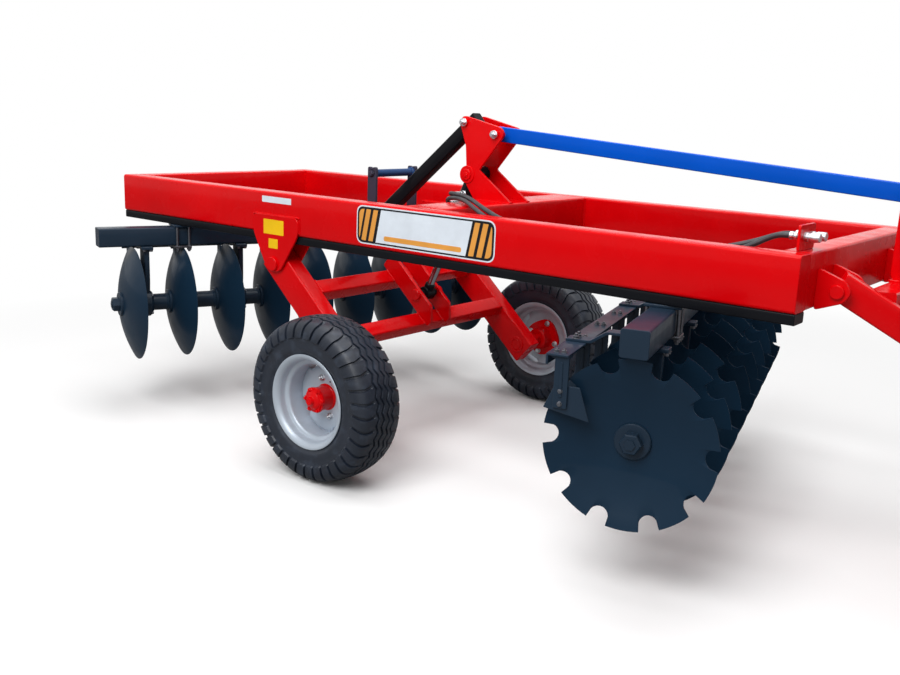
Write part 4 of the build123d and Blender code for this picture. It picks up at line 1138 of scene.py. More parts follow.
@dataclass(frozen=True)
class Jack:
    """Parking jack: outer tube with its pivot flange, leg with a foot, and a crank."""

    x: float = 3290.0
    y: float = -205.0
    low: float = 330.0
    high: float = 860.0
    pivot_z: float = 500.0
    arm: float = 170.0

    def build(self) -> None:
        """Make the jack from turned profiles, an eased foot plate and a bent crank."""
        upright = Place(np.array((self.x, self.y, 0.0)), np.array(FORWARD), np.array(LEFT), np.array(UP))
        low, high, arm = self.low, self.high, self.arm
        wall = [(33.2, low), (37, low), (38, low + 2), (38, low + 18), (41, low + 18), (41, low + 24)]
        wall += [(38, low + 24), (38, high - 40), (42, high - 40), (42, high - 6), (37, high), (0, high)]
        wall += [(0, high - 6), (33.2, high - 6)]
        flange = [(0, 0), (45, 0), (45, 13), (43, 15), (34, 15), (34, 60), (0, 60)]
        pivot = lathe(flange, aimed((self.x, -152, self.pivot_z), RIGHT), 40)
        stub = lathe([(0, 0), (25, 0), (25, 84), (0, 84)], aimed((self.x, -70.3, self.pivot_z), RIGHT), 32)
        outer = joined(lathe(wall, upright, 40, True), pivot, stub)
        piece("jack_outer_tube", outer, Finish.RED, "jack", "jack_tube")
        leg = lathe([(0, 14), (32.8, 14), (32.8, 638), (0, 638)], upright, 36)
        foot = plate(box_section(200, 200, 25, 7), upright, 16, 3)
        collar = lathe([(0, 15), (46, 15), (38, 34), (0, 34)], upright, 36)
        piece("jack_inner_leg", joined(leg, foot, collar), Finish.ZINC, "jack", "jack_leg")
        z = high + 40
        bends = [(0, high - 2), (0, z - 30), (0, z), (-30, z), (30 - arm, z), (-arm, z)]
        bends += [(-arm, z + 30), (-arm, z + 46)]
        path = nurbs([(self.x + a, self.y, b) for a, b in bends])
        grip = [(0, z + 40), (14, z + 40), (16, z + 46), (13, z + 78), (15, z + 104)]
        grip += [(12, z + 110), (0, z + 110)]
        hand = replace(upright, origin=upright.origin - (arm, 0.0, 0.0))
        piece("jack_crank_rod", tube(path, 10), Finish.ZINC, "jack", "jack_crank")
        piece("jack_crank_grip", lathe(grip, hand, 24), Finish.CLIP, "jack")


@dataclass(frozen=True)
class Carriage:
    """Wheel carriage: two arms, two cross tubes, the cylinder's lugs and the stub axles."""

    arm_in: float = 609.0
    arm_w: float = 90.0
    arm_h: float = 150.0
    tubes: Flat = (225.0, 522.0)
    tube_size: float = 80.0
    lug_y: float = 85.0
    lug_t: float = 20.0

    @property
    def fall(self) -> float:
        """Angle by which the arms slope down towards the axle."""
        return atan2(PIVOT[1] - AXLE_Z, -PIVOT[0])

    @property
    def ahead(self) -> np.ndarray:
        """Direction along the arms, from the pivot to the axle."""
        return np.array((cos(self.fall), 0.0, -sin(self.fall)))

    @property
    def square(self) -> np.ndarray:
        """Direction square to the arms, upwards."""
        return np.array((sin(self.fall), 0.0, cos(self.fall)))

    def point(self, along: float, offset: float, y: float) -> Point:
        """Point on the carriage: along the arm from the pivot, square to it, and sideways."""
        return tuple(np.array((PIVOT[0], y, PIVOT[1])) + along * self.ahead + offset * self.square)

    def arms(self) -> None:
        """Arms of box tube, each with a ring and a collar round the axle on its two sides."""
        length = hypot(PIVOT[0], PIVOT[1] - AXLE_Z)
        ring = [(0, -6), (45, -6), (45, 4), (43, 6), (32, 6), (29, 1), (0, 1)]
        collar = [(0, -6), (62, -6), (62, 8), (58, 14), (0, 14)]
        shells, bosses = [], []
        for side in (-1, 1):
            inner, outer = side * self.arm_in, side * (self.arm_in + self.arm_w)
            y = side * (self.arm_in + self.arm_w / 2)
            ends = self.point(-60, 0, y), self.point(length + 66, 0, y)
            shells.append(bar(*ends, self.arm_w, self.arm_h, 10, tuple(self.square)))
            bosses.append(lathe(ring, aimed((0, inner, AXLE_Z), (0, -side, 0)), 36))
            bosses.append(lathe(collar, aimed((0, outer, AXLE_Z), (0, side, 0)), 36))
        piece("carriage_arm_tubes", joined(*shells, *bosses), Finish.RED, "carriage", "carriage_arms")

    def cross_tubes(self) -> list[Shell]:
        """Square tubes between the arms.

        Returns:
            The weld beads round their ends.
        """
        size, offset = self.tube_size, self.arm_h / 2 - self.tube_size / 2
        line = box_section(size + 3, size + 3, 9, 3) + (0.0, offset)
        seam = line[line[:, 1] < self.arm_h / 2 + 1]
        shells, welds = [], []
        for along in self.tubes:
            ends = self.point(along, offset, -self.arm_in), self.point(along, offset, self.arm_in)
            shells.append(bar(*ends, size, size, 9, tuple(self.square), edge=0.5))
            for y in (-self.arm_in, self.arm_in):
                welds.append(bead([self.point(along + a, b, y) for a, b in seam], 4.5, True))
        piece("carriage_cross_boxes", joined(*shells), Finish.RED, "carriage", "carriage_tubes")
        return welds

    def lugs(self) -> list[Shell]:
        """Two lug plates across the tubes, with the heads of the cylinder's pin.

        Returns:
            The weld beads along their feet.
        """
        outline = rounded([(150, 75), (580, 75), (580, 112), (520, 170), (150, 170)], 14)
        head = [(0, -1), (29, -1), (29, 11), (26, 14), (0, 14)]
        shells, welds = [], []
        for y in (self.lug_y, self.lug_t - self.lug_y):
            base = Place(np.array(self.point(0, 0, y)), self.ahead, self.square, np.array(RIGHT))
            shells.append(plate(outline, base, self.lug_t, 2))
            for face in (y, y - self.lug_t):
                for along in self.tubes:
                    welds.append(bead([self.point(along + a, 76, face) for a in (-38, 38)], 5))
        for side in (-1, 1):
            seat = aimed(self.point(415, 140, side * self.lug_y), (0, side, 0))
            shells.append(lathe(head, seat, 32))
        piece("cylinder_lug_plates", joined(*shells), Finish.RED, "carriage", "cylinder_lugs")
        return welds

    def build(self) -> None:
        """Make the carriage from round-cornered tubes, bevelled lugs, turned bosses and welds."""
        self.arms()
        welds = self.cross_tubes() + self.lugs()
        piece("carriage_welds", joined(*welds), Finish.RED, "carriage", crease=WELD_CREASE)
        stub = [(0, 0), (28, 0), (30, 2), (30, 364), (27, 368), (0, 368)]
        axles = [lathe(stub, aimed((0, side * 603, AXLE_Z), (0, side, 0)), 32) for side in (-1, 1)]
        piece("axle_stubs", joined(*axles), Finish.RED, "carriage", "stub_axles")


@dataclass(frozen=True)
class LiftCylinder:
    """Lift cylinder between the tower and the carriage."""

    top: Point = (BARREL_PIN[0], 0.0, BARREL_PIN[1])
    low: Point = (-178.5, 0.0, 728.0)
    length: float = 430.0
    rod: float = 426.0
    ports: Flat = (110.0, 160.0)

    @property
    def ahead(self) -> np.ndarray:
        """Direction from the barrel's pin to the rod's."""
        return unit(np.subtract(self.low, self.top))

    def port(self, index: int) -> np.ndarray:
        """Point on the barrel's middle line beside one of its ports."""
        return np.array(self.top) + self.ahead * self.ports[index]

    def build(self) -> None:
        """Make the barrel and the rod from turned profiles about the line between their pins."""
        end, rod = self.length, self.rod
        body = [(0, 28), (40, 28), (45, 33), (45, 44), (47, 47), (45, 50), (45, end - 46), (48, end - 44)]
        body += [(48, end - 34), (45, end - 32), (45, end - 26), (50, end - 25), (52, end - 22)]
        body += [(52, end - 4), (49, end), (20.3, end), (20.3, end - 20), (0, end - 20)]
        eye = lathe(mirrored([(0, -60), (35, -60), (38, -57)]), aimed(self.top, LEFT), 36)
        barrel = lathe(body, aimed(self.top, tuple(self.ahead), LEFT), 44)
        piece("lift_barrel", joined(barrel, eye), Finish.BLACK, "barrel", "cylinder_barrel")
        union = [(0, 0), (17, 0), (17, 8), (14, 10), (14, 20), (0, 20)]
        nut = [(0, 19), (15, 19), (15, 31), (12.5, 33), (12.5, 35), (0, 35)]
        fittings = []
        for index in range(len(self.ports)):
            seat = aimed(tuple(self.port(index) + (0, -40, 0)), RIGHT)
            fittings += [lathe(union, seat, 24), lathe(nut, seat, 6)]
        piece("barrel_ports", joined(*fittings), Finish.ZINC, "barrel")
        start = aimed(tuple(np.array(self.low) - self.ahead * rod), tuple(self.ahead), LEFT)
        stem = lathe([(0, 0), (18, 0), (20, 3), (20, rod - 34), (0, rod - 34)], start, 36)
        piece("lift_rod", stem, Finish.CHROME, "rod", "cylinder_rod")
        neck = [(0, rod - 62), (22, rod - 62), (27, rod - 56), (27, rod - 20), (0, rod - 20)]
        eye = mirrored([(0, -60), (20, -60), (20, -30), (33, -30), (36, -27)])
        shells = lathe(neck, start, 36), lathe(eye, aimed(self.low, LEFT), 36)
        piece("rod_eye", joined(*shells), Finish.BLACK, "rod")


@dataclass(frozen=True)
class Wheel:
    """Wheel with a road tyre, a deep silver rim and a red hub."""

    side: int
    body: str
    lugs: int = 36
    studs: int = 4
    stud_turn: float = 0.3
    slot_turn: float = 0.5
    bore: float = 33.0

    def axis(self) -> Place:
        """Axle line at the wheel's middle, pointing outwards."""
        return aimed((0, self.side * WHEEL_Y, AXLE_Z), (0, self.side, 0))

    def section(self) -> np.ndarray:
        """Tyre section at the tops of its lugs.

        A smooth curve through bead, wall, shoulder and crown is sampled finely at the lugs' feet and at both
        edges of each rib groove, and mirrored.

        Returns:
            Rows of radius, distance from the middle and the outward normal's two parts, from bead to bead.
        """
        knots = np.array([
            (199, 105), (214, 108), (224, 113), (246, 125), (270, 130.5), (292, 132), (312, 131.5),
            (332, 128), (347, 122), (358, 113), (366, 100), (371, 84), (375, 64), (378, 40), (379.6, 16),
            (380, 0),
        ], float)
        middle, window = 600, 61
        knots = np.vstack((knots, (knots * (1, -1))[-2::-1]))
        walk = np.concatenate(([0.0], np.cumsum(np.linalg.norm(np.diff(knots, axis=0), axis=1))))
        fine = np.linspace(0, walk[-1], 2 * middle + 1)
        dense = np.stack([np.interp(fine, walk, knots[:, axis]) for axis in (0, 1)], -1)
        weight = np.hanning(window) / np.hanning(window).sum()
        padded = np.pad(dense, ((window // 2, window // 2), (0, 0)), "edge")
        smooth = np.stack([np.convolve(padded[:, axis], weight, "valid") for axis in (0, 1)], -1)
        ahead = np.gradient(smooth, axis=0)
        normal = np.stack((-ahead[:, 1], ahead[:, 0]), -1) / np.linalg.norm(ahead, axis=1)[:, None]
        normal *= np.sign(normal[middle, 0])
        half, outer = slice(0, middle + 1), slice(middle // 4, middle + 1)
        rise = np.maximum.accumulate(smooth[half, 0])
        heel, foot, shoulder = np.interp((200, 281, 312), rise, fine[half])
        edges = np.array([62, 58, 54.5, 52, 44, 41.5, 36, 29, 23.5, 21, 13, 10.5, 5])
        crown = np.interp(-edges, -smooth[outer, 1], fine[outer])
        wall = [np.linspace(heel, foot, 13)[:-1], np.linspace(foot, shoulder, 12)[:-1]]
        first = np.concatenate((*wall, np.linspace(shoulder, crown[0], 17), crown[1:]))
        where = np.concatenate((first, [walk[-1] / 2], (walk[-1] - first)[::-1]))
        return np.stack([np.interp(where, fine, column) for column in (*smooth.T, *normal.T)], -1)

    def tyre(self) -> Shell:
        """Tyre with broad shoulder lugs, zigzag ribs and a plain wall.

        The section is turned about the axle in steps that crowd around each groove. A point is moved in along
        the section's normal by the depth there: full depth within a groove's half width of each pitch, from
        the ribs out to the lugs' round feet on the wall, and along each rib groove, whose rows swing from
        side to side once in each pitch. The two shoulders are half a pitch apart.

        Returns:
            The tyre, closed round its bore.
        """
        r, y, nr, ny = (column[:, None] for column in self.section().T)
        wide = np.abs(y)
        share = about(-0.5, [0.04, 0.085, 0.125, 0.16, 0.2, 0.25, 0.32, 0.41])
        count = (np.arange(self.lugs)[:, None] + share[None]).reshape(1, -1)
        u = np.abs(np.tile(share, self.lugs))[None]
        pitch = 2 * pi / self.lugs
        lean = -0.05 * np.clip((r - 290) / 75, 0, 1) + 0.03 * np.clip((96 - wide) / 40, 0, 1)
        turn = pitch * (count + 0.25 * np.clip(y / 50, -1, 1)) + lean
        groove = np.clip((0.125 - u) / 0.04, 0, 1) * np.clip((wide - 60) / 5, 0, 1)
        foot = 291 + 15 * np.clip((0.22 - u) / 0.22, 0, 1) ** 1.5
        below = np.clip((foot + 4 - r) / 6, 0, 1) * (wide > 70)
        wall = np.maximum(below * np.clip((r - 236) / 34, 0, 1), groove * below * (r > 270))
        notch = np.clip((0.035 - np.abs(u - 0.29)) / 0.02, 0, 1) * np.clip((330 - r) / 12, 0, 1) * (1 - below)
        gap = np.minimum(np.abs(wide - 48), np.abs(wide - 17))
        rib = np.clip((6.5 - gap) / 2.5, 0, 1) * (wide < 60)
        depth = np.maximum(9.5 * groove * (1 - below) + 8.5 * wall, 8.5 * rib)
        depth = np.maximum(depth, 2.2 * notch * (wide > 70))
        depth = depth - 1.6 * np.exp(-(((r - 238) / 3.5) ** 2)) - 0.8 * np.exp(-(((r - 256) / 2.5) ** 2))
        swing = np.sin(2 * pi * count) - np.sin(6 * pi * count) / 9
        zigzag = 6.5 * swing * np.clip((74 - wide) / 18, 0, 1)
        skin = np.stack(np.broadcast_arrays(r - depth * nr, y - depth * ny + zigzag), -1)
        seat = np.array([(197, -88), (197, 0), (197, 88)], float)
        inner = np.broadcast_to(seat[:, None], (len(seat), turn.shape[1], 2))
        turns = np.concatenate((turn, turn[-1:], turn[-1:] * 0.5 + turn[:1] * 0.5, turn[:1]))
        section = np.concatenate((skin, inner))
        flat = section[..., :1] * np.stack((np.cos(turns), np.sin(turns)), -1)
        return loft(self.axis().put(np.concatenate((flat, section[..., 1:]), -1)), True)

    def rim(self) -> Shell:
        """Rim: a rolled section turned about the axle, and a plate with four slots at its edge.

        Returns:
            The rim and its plate.
        """
        outer = [(194, 103), (196, 107), (210, 109), (217, 112), (219, 115), (217, 118), (211, 118)]
        outer += [(203, 114), (195, 108), (190, 101), (187.5, 92)]
        well = [(186, 78), (183, 72), (176, 69), (169, 66), (165.5, 60), (164, 52), (164, -52), (166, -62)]
        well += [(178, -68), (186, -76), (187.5, -92)]
        seat = [(194, -76), (188, -71), (174, -64), (172, -58), (172, 58), (174, 64), (188, 71), (194, 76)]
        shape = outer + well + [(r, -y) for r, y in outer[-2::-1]] + seat
        sides, hole = 288, 50.0
        turn = np.linspace(0, 2 * pi, sides, endpoint=False)
        chord = np.abs(((turn - self.slot_turn) / (pi / 2) + 0.5) % 1 - 0.5) * 90
        edge = 166.5 - 17 * np.clip((17 - chord) / 4.5, 0, 1) ** 0.6
        half = np.array([0, 0.35, 0.7, 0.86, 0.93, 0.975, 1.0])
        share = np.concatenate((half, half[::-1]))[:, None]
        lift = np.array([-13, -13, -13, -13.5, -15, -17.5, -20, -26, -26, -25, -23.5, -23, -23, -23], float)
        radius = hole + (edge[None] - hole) * share
        rings = [(r[:, None] * circle(sides), along) for r, along in zip(radius, lift)]
        return joined(lathe(shape, self.axis(), 120, True), loft(rings_at(self.axis(), rings), True))

    def lobed(self, edge: np.ndarray, low: float, high: float) -> Shell:
        """Ring with a wavy edge, cut back at both faces and closed round the axle's bore.

        Args:
            edge: radius at each of evenly spaced angles.
            low: inner face, along the axle from the wheel's middle.
            high: outer face.

        Returns:
            The ring.
        """
        bore = np.full(len(edge), self.bore)
        levels = [(bore, low), (edge - 2, low), (edge, low + 2), (edge, high - 2)]
        levels += [(edge - 3, high), (bore, high)]
        rings = [(radius[:, None] * circle(len(edge)), along) for radius, along in levels]
        return loft(rings_at(self.axis(), rings), True)

    def hub(self) -> Shell:
        """Hub: turned barrel, a flange with a lobe at each stud, a six-lobed end ring and a domed cap.

        A lobed ring's radius swells with the cosine of the angle times the number of lobes.

        Returns:
            The hub.
        """
        axis = self.axis()
        barrel = [(31, -110), (52, -110), (60, -104), (60, -46), (64, -41), (66, -32), (62, -23), (62, -10)]
        barrel += [(59, -6), (56, -4), (54, 40), (57, 46), (57, 62), (31, 62)]
        turn = np.linspace(0, 2 * pi, 96, endpoint=False)
        end = self.lobed(53 + 6.5 * np.clip(np.cos(6 * turn) * 1.9, -0.7, 1), 52.0, 69.0)
        flange = self.lobed(105 + 5 * np.cos(self.studs * (turn - self.stud_turn)), -41.0, -23.0)
        cap = [(0, 64), (43, 64), (43, 70), (40, 75), (30, 79), (21, 80.5), (19, 82)]
        cap += [(18, 84), (18, 96), (16, 99), (10, 100), (10, 98.5), (0, 98.5)]
        return joined(lathe(barrel, axis, 60, True), flange, end, lathe(cap, axis, 48))

    def seats(self, count: int, radius: float, start: float, along: float) -> list[Point]:
        """Points evenly spaced round the axle.

        Args:
            count: how many.
            radius: their distance from the axle.
            start: angle of the first.
            along: distance from the wheel's middle.

        Returns:
            The points.
        """
        turn = np.arange(count) * 2 * pi / count + start
        ring = np.column_stack((radius * np.cos(turn), radius * np.sin(turn), np.full(count, along)))
        return [tuple(point) for point in self.axis().put(ring)]

    def build(self) -> None:
        """Make the wheel, its nuts and its valve."""
        name = "right" if self.side < 0 else "left"
        outward, inward = (0, self.side, 0), (0, -self.side, 0)
        piece(f"{name}_road_tyre", self.tyre(), Finish.TYRE, self.body, f"{name}_tyre", crease=40)
        piece(f"{name}_dished_rim", self.rim(), Finish.RIM, self.body, f"{name}_rim", crease=40)
        piece(f"{name}_hub_body", self.hub(), Finish.RED, self.body, f"{name}_hub", crease=40)
        front = bolts(self.seats(self.studs, 90, self.stud_turn, -13.0), outward, 16, 8)
        back = bolts(self.seats(self.studs, 90, self.stud_turn, -41.0), inward, 16)
        piece(f"{name}_wheel_nuts", joined(front, back), Finish.ZINC, self.body)
        piece(f"{name}_hub_bolts", bolts(self.seats(6, 51, 0.0, 69.0), outward, 8), Finish.RED, self.body)
        stem = [(0, 0), (5, 0), (5, 22), (3.5, 24), (3.5, 30), (0, 30)]
        seat = aimed(tuple(self.axis().put((116.0, 117.0, 46.0))), (-0.3, self.side, -0.3))
        piece(f"{name}_valve", lathe(stem, seat, 12), Finish.CLIP, self.body)

@dataclass(frozen=True)
class Gang:
    """One gang: nine discs on spools, the beam with its hangers, the scraper bar and the scrapers."""

    name: str
    centre: Point
    angle: float
    rightward: bool
    scraper_side: int
    notched: bool
    discs: int = 9
    pitch: float = 260.0
    radius: float = 305.0
    sphere: float = 650.0
    flat: float = 75.0
    thick: float = 6.0
    notches: int = 10
    notch_centre: float = 290.0
    notch_radius: float = 36.0
    notch_half: float = 6.8
    beam_low: float = 900.0
    beam_size: float = 100.0
    bar_near: float = 218.0
    bar_w: float = 80.0
    bar_top: float = 884.0
    strap_z: float = 924.0
    strap_w: float = 60.0
    overhang: float = 12.0

    @property
    def half(self) -> float:
        """Half the distance between the outer discs."""
        return (self.discs - 1) / 2 * self.pitch

    @property
    def blade_start(self) -> float:
        """Where a scraper's blade starts, counted from its disc."""
        return float(self.dish(self.radius)) + self.thick + 8

    @property
    def bar_end(self) -> float:
        """Far end of the scraper bar, past the last scraper."""
        return self.half + self.blade_start + 18 + self.overhang

    @property
    def reach(self) -> float:
        """How far sideways the tip of the scraper bar lies from the gang's centre."""
        turn = radians(self.angle)
        return self.bar_end * cos(turn) + (self.bar_near + self.bar_w) * sin(turn)

    @property
    def place(self) -> Place:
        """Local axes: across the gang, up, and along the disc axis towards the hollow faces.

        Returns:
            The axes at the gang's centre.
        """
        turn = radians(self.angle)
        hollow = np.array((sin(turn), -cos(turn) if self.rightward else cos(turn), 0.0))
        return Place(np.array(self.centre), np.array((-hollow[1], hollow[0], 0.0)), np.array(UP), hollow)

    def slice(self, along: float) -> Place:
        """Local axes moved along the gang."""
        return replace(self.place, origin=self.place.put((0, 0, along)))

    def at(self, across: float, up: float, along: float) -> Point:
        """A local point in the machine's own coordinates."""
        return tuple(self.place.put((across, up, along)))

    def dish(self, radius: np.ndarray) -> np.ndarray:
        """Depth of the hollow at a radius: a sphere's rise past its flat centre."""
        rise = np.sqrt(self.sphere**2 - self.flat**2) - np.sqrt(self.sphere**2 - np.asarray(radius) ** 2)
        return np.maximum(rise, 0.0)

    def upright(
        self, outline: Outline, corner: float, along: float, thick: float, edge: float = 1.5
    ) -> Shell:
        """Plate square to the disc axis, on the scrapers' side of the gang.

        Args:
            outline: corners as distances across, towards the scrapers, and up.
            corner: easing of the corners.
            along: where the plate starts.
            thick: its thickness along the gang.
            edge: bevel of its rim.

        Returns:
            The plate.
        """
        turned = [(self.scraper_side * across, up) for across, up in outline]
        return plate(rounded(turned, corner), self.slice(along), thick, edge)

    def disc(self) -> Shell:
        """One disc: radius times angle, both faces on spheres, the rim ground to an edge.

        On a notched disc the rim comes in to the near side of ten circles that are centred near the edge.

        Returns:
            The disc about the gang's middle.
        """
        step = about(-18, [2, 4, 5.6, 6.6, 6.9, 7.2, 10, 14])
        turn = np.radians((np.arange(self.notches)[:, None] * 360 / self.notches + step[None]).ravel())
        edge = np.full(turn.size, self.radius)
        if self.notched:
            swing = np.radians(np.tile(step, self.notches))
            aside = self.notch_centre * np.sin(swing)
            cut = self.notch_centre * np.cos(swing) - np.sqrt(np.maximum(self.notch_radius**2 - aside**2, 0))
            edge = np.where(np.abs(swing) < radians(self.notch_half), cut, edge)
        hole = self.flat * 0.3
        radius = hole + (edge[None] - hole) * np.linspace(0, 1, 13)[:, None]
        back = self.dish(radius)
        front = back + self.thick * np.clip((edge[None] - radius) / 10 + 0.25, 0, 1)
        radius = np.concatenate((radius, radius[::-1]))
        depth = np.concatenate((back, front[::-1]))
        points = np.stack((radius * np.cos(turn), radius * np.sin(turn), depth), -1)
        return loft(self.place.put(points), True)

    def spool(self) -> Shell:
        """Spools, end washers and end nuts along the gang's axle.

        Returns:
            One turned profile for the spools and washers, with a six-sided nut at each end.
        """
        first, last = -self.half, self.half + self.thick
        profile: Outline = [(0, first - 12), (62, first - 12), (65, first - 9), (65, first)]
        for index in range(self.discs - 1):
            low, high = first + index * self.pitch + self.thick, first + (index + 1) * self.pitch
            end = [(40, low - 3), (65, low), (65, low + 9), (62, low + 12), (52, low + 13), (45, low + 24)]
            profile += mirrored(end, low + high)
        profile += [(65, last), (65, last + 9), (62, last + 12), (0, last + 12)]
        nut = [(0, 0), (40, 0), (40, 30), (35, 35), (20, 35), (20, 40), (0, 40)]
        ends = [lathe(nut, aimed(self.at(0, 0, last + 12), tuple(self.place.along)), 6)]
        ends.append(lathe(nut, aimed(self.at(0, 0, first - 12), tuple(-self.place.along)), 6))
        return joined(lathe(profile, self.place, 36), *ends)

    def hangers(self) -> None:
        """Bearing hangers: a plate from the beam to a turned bearing housing, with bolted flanges."""
        top = self.beam_low - self.centre[2]
        outline = rounded([(-42, 40), (42, 40), (55, 120), (55, top), (-55, top), (-55, 120)], 20)
        housing = mirrored([(45.6, -30), (60, -30), (64, -22), (72, -20), (75, -16)])
        shells, seats, caps = [], [], []
        for ratio in (-3.5, -1.5, 1.5, 3.5):
            middle = ratio * self.pitch + self.thick / 2
            shells.append(plate(outline, self.slice(middle - 13), 26, 3))
            shells.append(lathe(housing, self.slice(middle), 40, True))
            shells.append(bar(self.at(-75, top - 8, middle), self.at(75, top - 8, middle), 60, 16, 4))
            for a in (-66, 66):
                seats += [self.at(a, top - 16, middle + b) for b in (-18.0, 18.0)]
            turn = np.arange(4) * pi / 2 + pi / 4
            caps += [self.at(68 * cos(t), 68 * sin(t), middle + 19) for t in turn]
        piece(f"{self.name}_bearing_hangers", joined(*shells), Finish.SLATE, "frame", f"{self.name}_hangers")
        fixings = joined(bolts(seats, DOWN, 12), bolts(caps, tuple(self.place.along), 10))
        piece(f"{self.name}_hanger_bolts", fixings, Finish.STEEL, "frame")

    def beam(self) -> None:
        """Gang beam with the pads and clamp bolts that hold it to the rails."""
        size, half = self.beam_size, self.half + 110
        z = self.beam_low + size / 2 - self.centre[2]
        shells = [bar(self.at(0, z, -half), self.at(0, z, half), size, size, 10)]
        seats, clamps = [], []
        for y in (-BEAM_Y, BEAM_Y):
            along = (y - self.centre[1]) / self.place.along[1]
            shells.append(bar(self.at(-70, z + 56, along), self.at(70, z + 56, along), 90, 12, 3))
            clamps.append(bar(self.at(-70, z - 56, along), self.at(70, z - 56, along), 90, 12, 3))
            for a in (-60.0, 60.0):
                for b in (-32.0, 32.0):
                    low, high = self.at(a, z - 62, along + b), self.at(a, z + 52, along + b)
                    seats.append(low)
                    clamps.append(tube(np.linspace(low, high, 4), 7, 12))
        piece(f"{self.name}_beam_tube", joined(*shells), Finish.SLATE, "frame", f"{self.name}_gang_beam")
        clamps.append(bolts(seats, DOWN, 14, 8))
        piece(f"{self.name}_beam_clamps", joined(*clamps), Finish.STEEL, "frame")

    def scraper_bar(self) -> None:
        """Angle bar behind the discs, bent straps to the beam, and their bolts."""
        s, near, far, wall = self.scraper_side, self.bar_near, self.bar_near + self.bar_w, self.beam_size / 2
        start = -self.half + self.blade_start - self.overhang
        top, low = self.bar_top - self.centre[2], self.strap_z - self.centre[2]
        angle = [(near, top), (far, top), (far, top - 40), (far - 8, top - 40), (far - 8, top - 8)]
        angle.append((near, top - 8))
        shells, seats = [self.upright(angle, 3, start, self.bar_end - start)], []
        bend, land = wall + (near - wall) * 0.55, wall + (near - wall) * 0.9
        strap = [(wall - 1, low), (bend, low), (land, top), (far - 2, top), (far - 2, top + 10)]
        strap += [(land + 5, top + 10), (bend + 5, low + 10), (wall - 1, low + 10)]
        tab = [(wall - 1, low - 14), (wall + 8, low - 14), (wall + 8, low + 50), (wall - 1, low + 50)]
        for ratio in (-3.5, 0.5, 3.5):
            along = ratio * self.pitch
            shells.append(self.upright(strap, 9, along - self.strap_w / 2, self.strap_w))
            shells.append(self.upright(tab, 2, along - self.strap_w / 2, self.strap_w, 1.0))
            seats += [self.at(s * (near + 42), top + 10, along + b) for b in (-16.0, 16.0)]
        rows = -self.half + np.arange(self.discs) * self.pitch + self.blade_start - 4
        plain = [self.at(s * (near + a), top, along) for a in (26, 52) for along in rows]
        bars = joined(*shells)
        piece(f"{self.name}_scraper_angle", bars, Finish.SLATE, "frame", f"{self.name}_scraper_bar")
        fixings = joined(bolts(seats, UP, 13, 9), bolts(plain, UP, 11, 5))
        piece(f"{self.name}_scraper_bolts", fixings, Finish.STEEL, "frame")

    def scrapers(self) -> None:
        """Scraper arms, each with a foot under the bar and a blade at the disc's hollow face."""
        s, near = self.scraper_side, self.bar_near
        start = -self.half + self.blade_start
        top = self.bar_top - self.centre[2] - 8
        low = top - 185
        arm = [(near, top), (near + 50, top), (near + 50, low), (near, low)]
        blade = [(near + 86, low - 6), (near + 48, low + 80), (near - 40, low + 80), (near - 80, low - 37)]
        foot = [(near, top - 9), (near + 64, top - 9), (near + 64, top), (near, top)]
        rib = [(near + 18, low + 40), (near + 32, low + 40), (near + 30, top - 20), (near + 20, top - 20)]
        shells = [
            self.upright(arm, 5, start + 8, 10),
            self.upright(blade, 4, start, 8),
            self.upright(foot, 3, start - 28, 45),
            self.upright(rib, 5, start + 16, 6, 2),
        ]
        steps = np.arange(self.discs)[:, None] * self.pitch * self.place.along[None]
        seats = [self.at(s * (near + 25), low + b, start + 18) for b in (16.0, 62.0)]
        arms = joined(*shells).copies(steps)
        piece(f"{self.name}_scraper_arms", arms, Finish.SLATE, "frame", f"{self.name}_scrapers")
        fixings = bolts(seats, tuple(self.place.along), 9).copies(steps)
        piece(f"{self.name}_blade_bolts", fixings, Finish.STEEL, "frame")

    def build(self) -> None:
        """Make the gang."""
        steps = (-self.half + np.arange(self.discs)[:, None] * self.pitch) * self.place.along[None]
        discs, body = self.disc().copies(steps), f"{self.name}_gang"
        piece(f"{self.name}_disc_set", discs, Finish.DISC, body, f"{self.name}_discs", crease=25)
        piece(f"{self.name}_spool_set", self.spool(), Finish.SLATE, body, f"{self.name}_spools")
        self.hangers()
        self.beam()
        self.scraper_bar()
        self.scrapers()


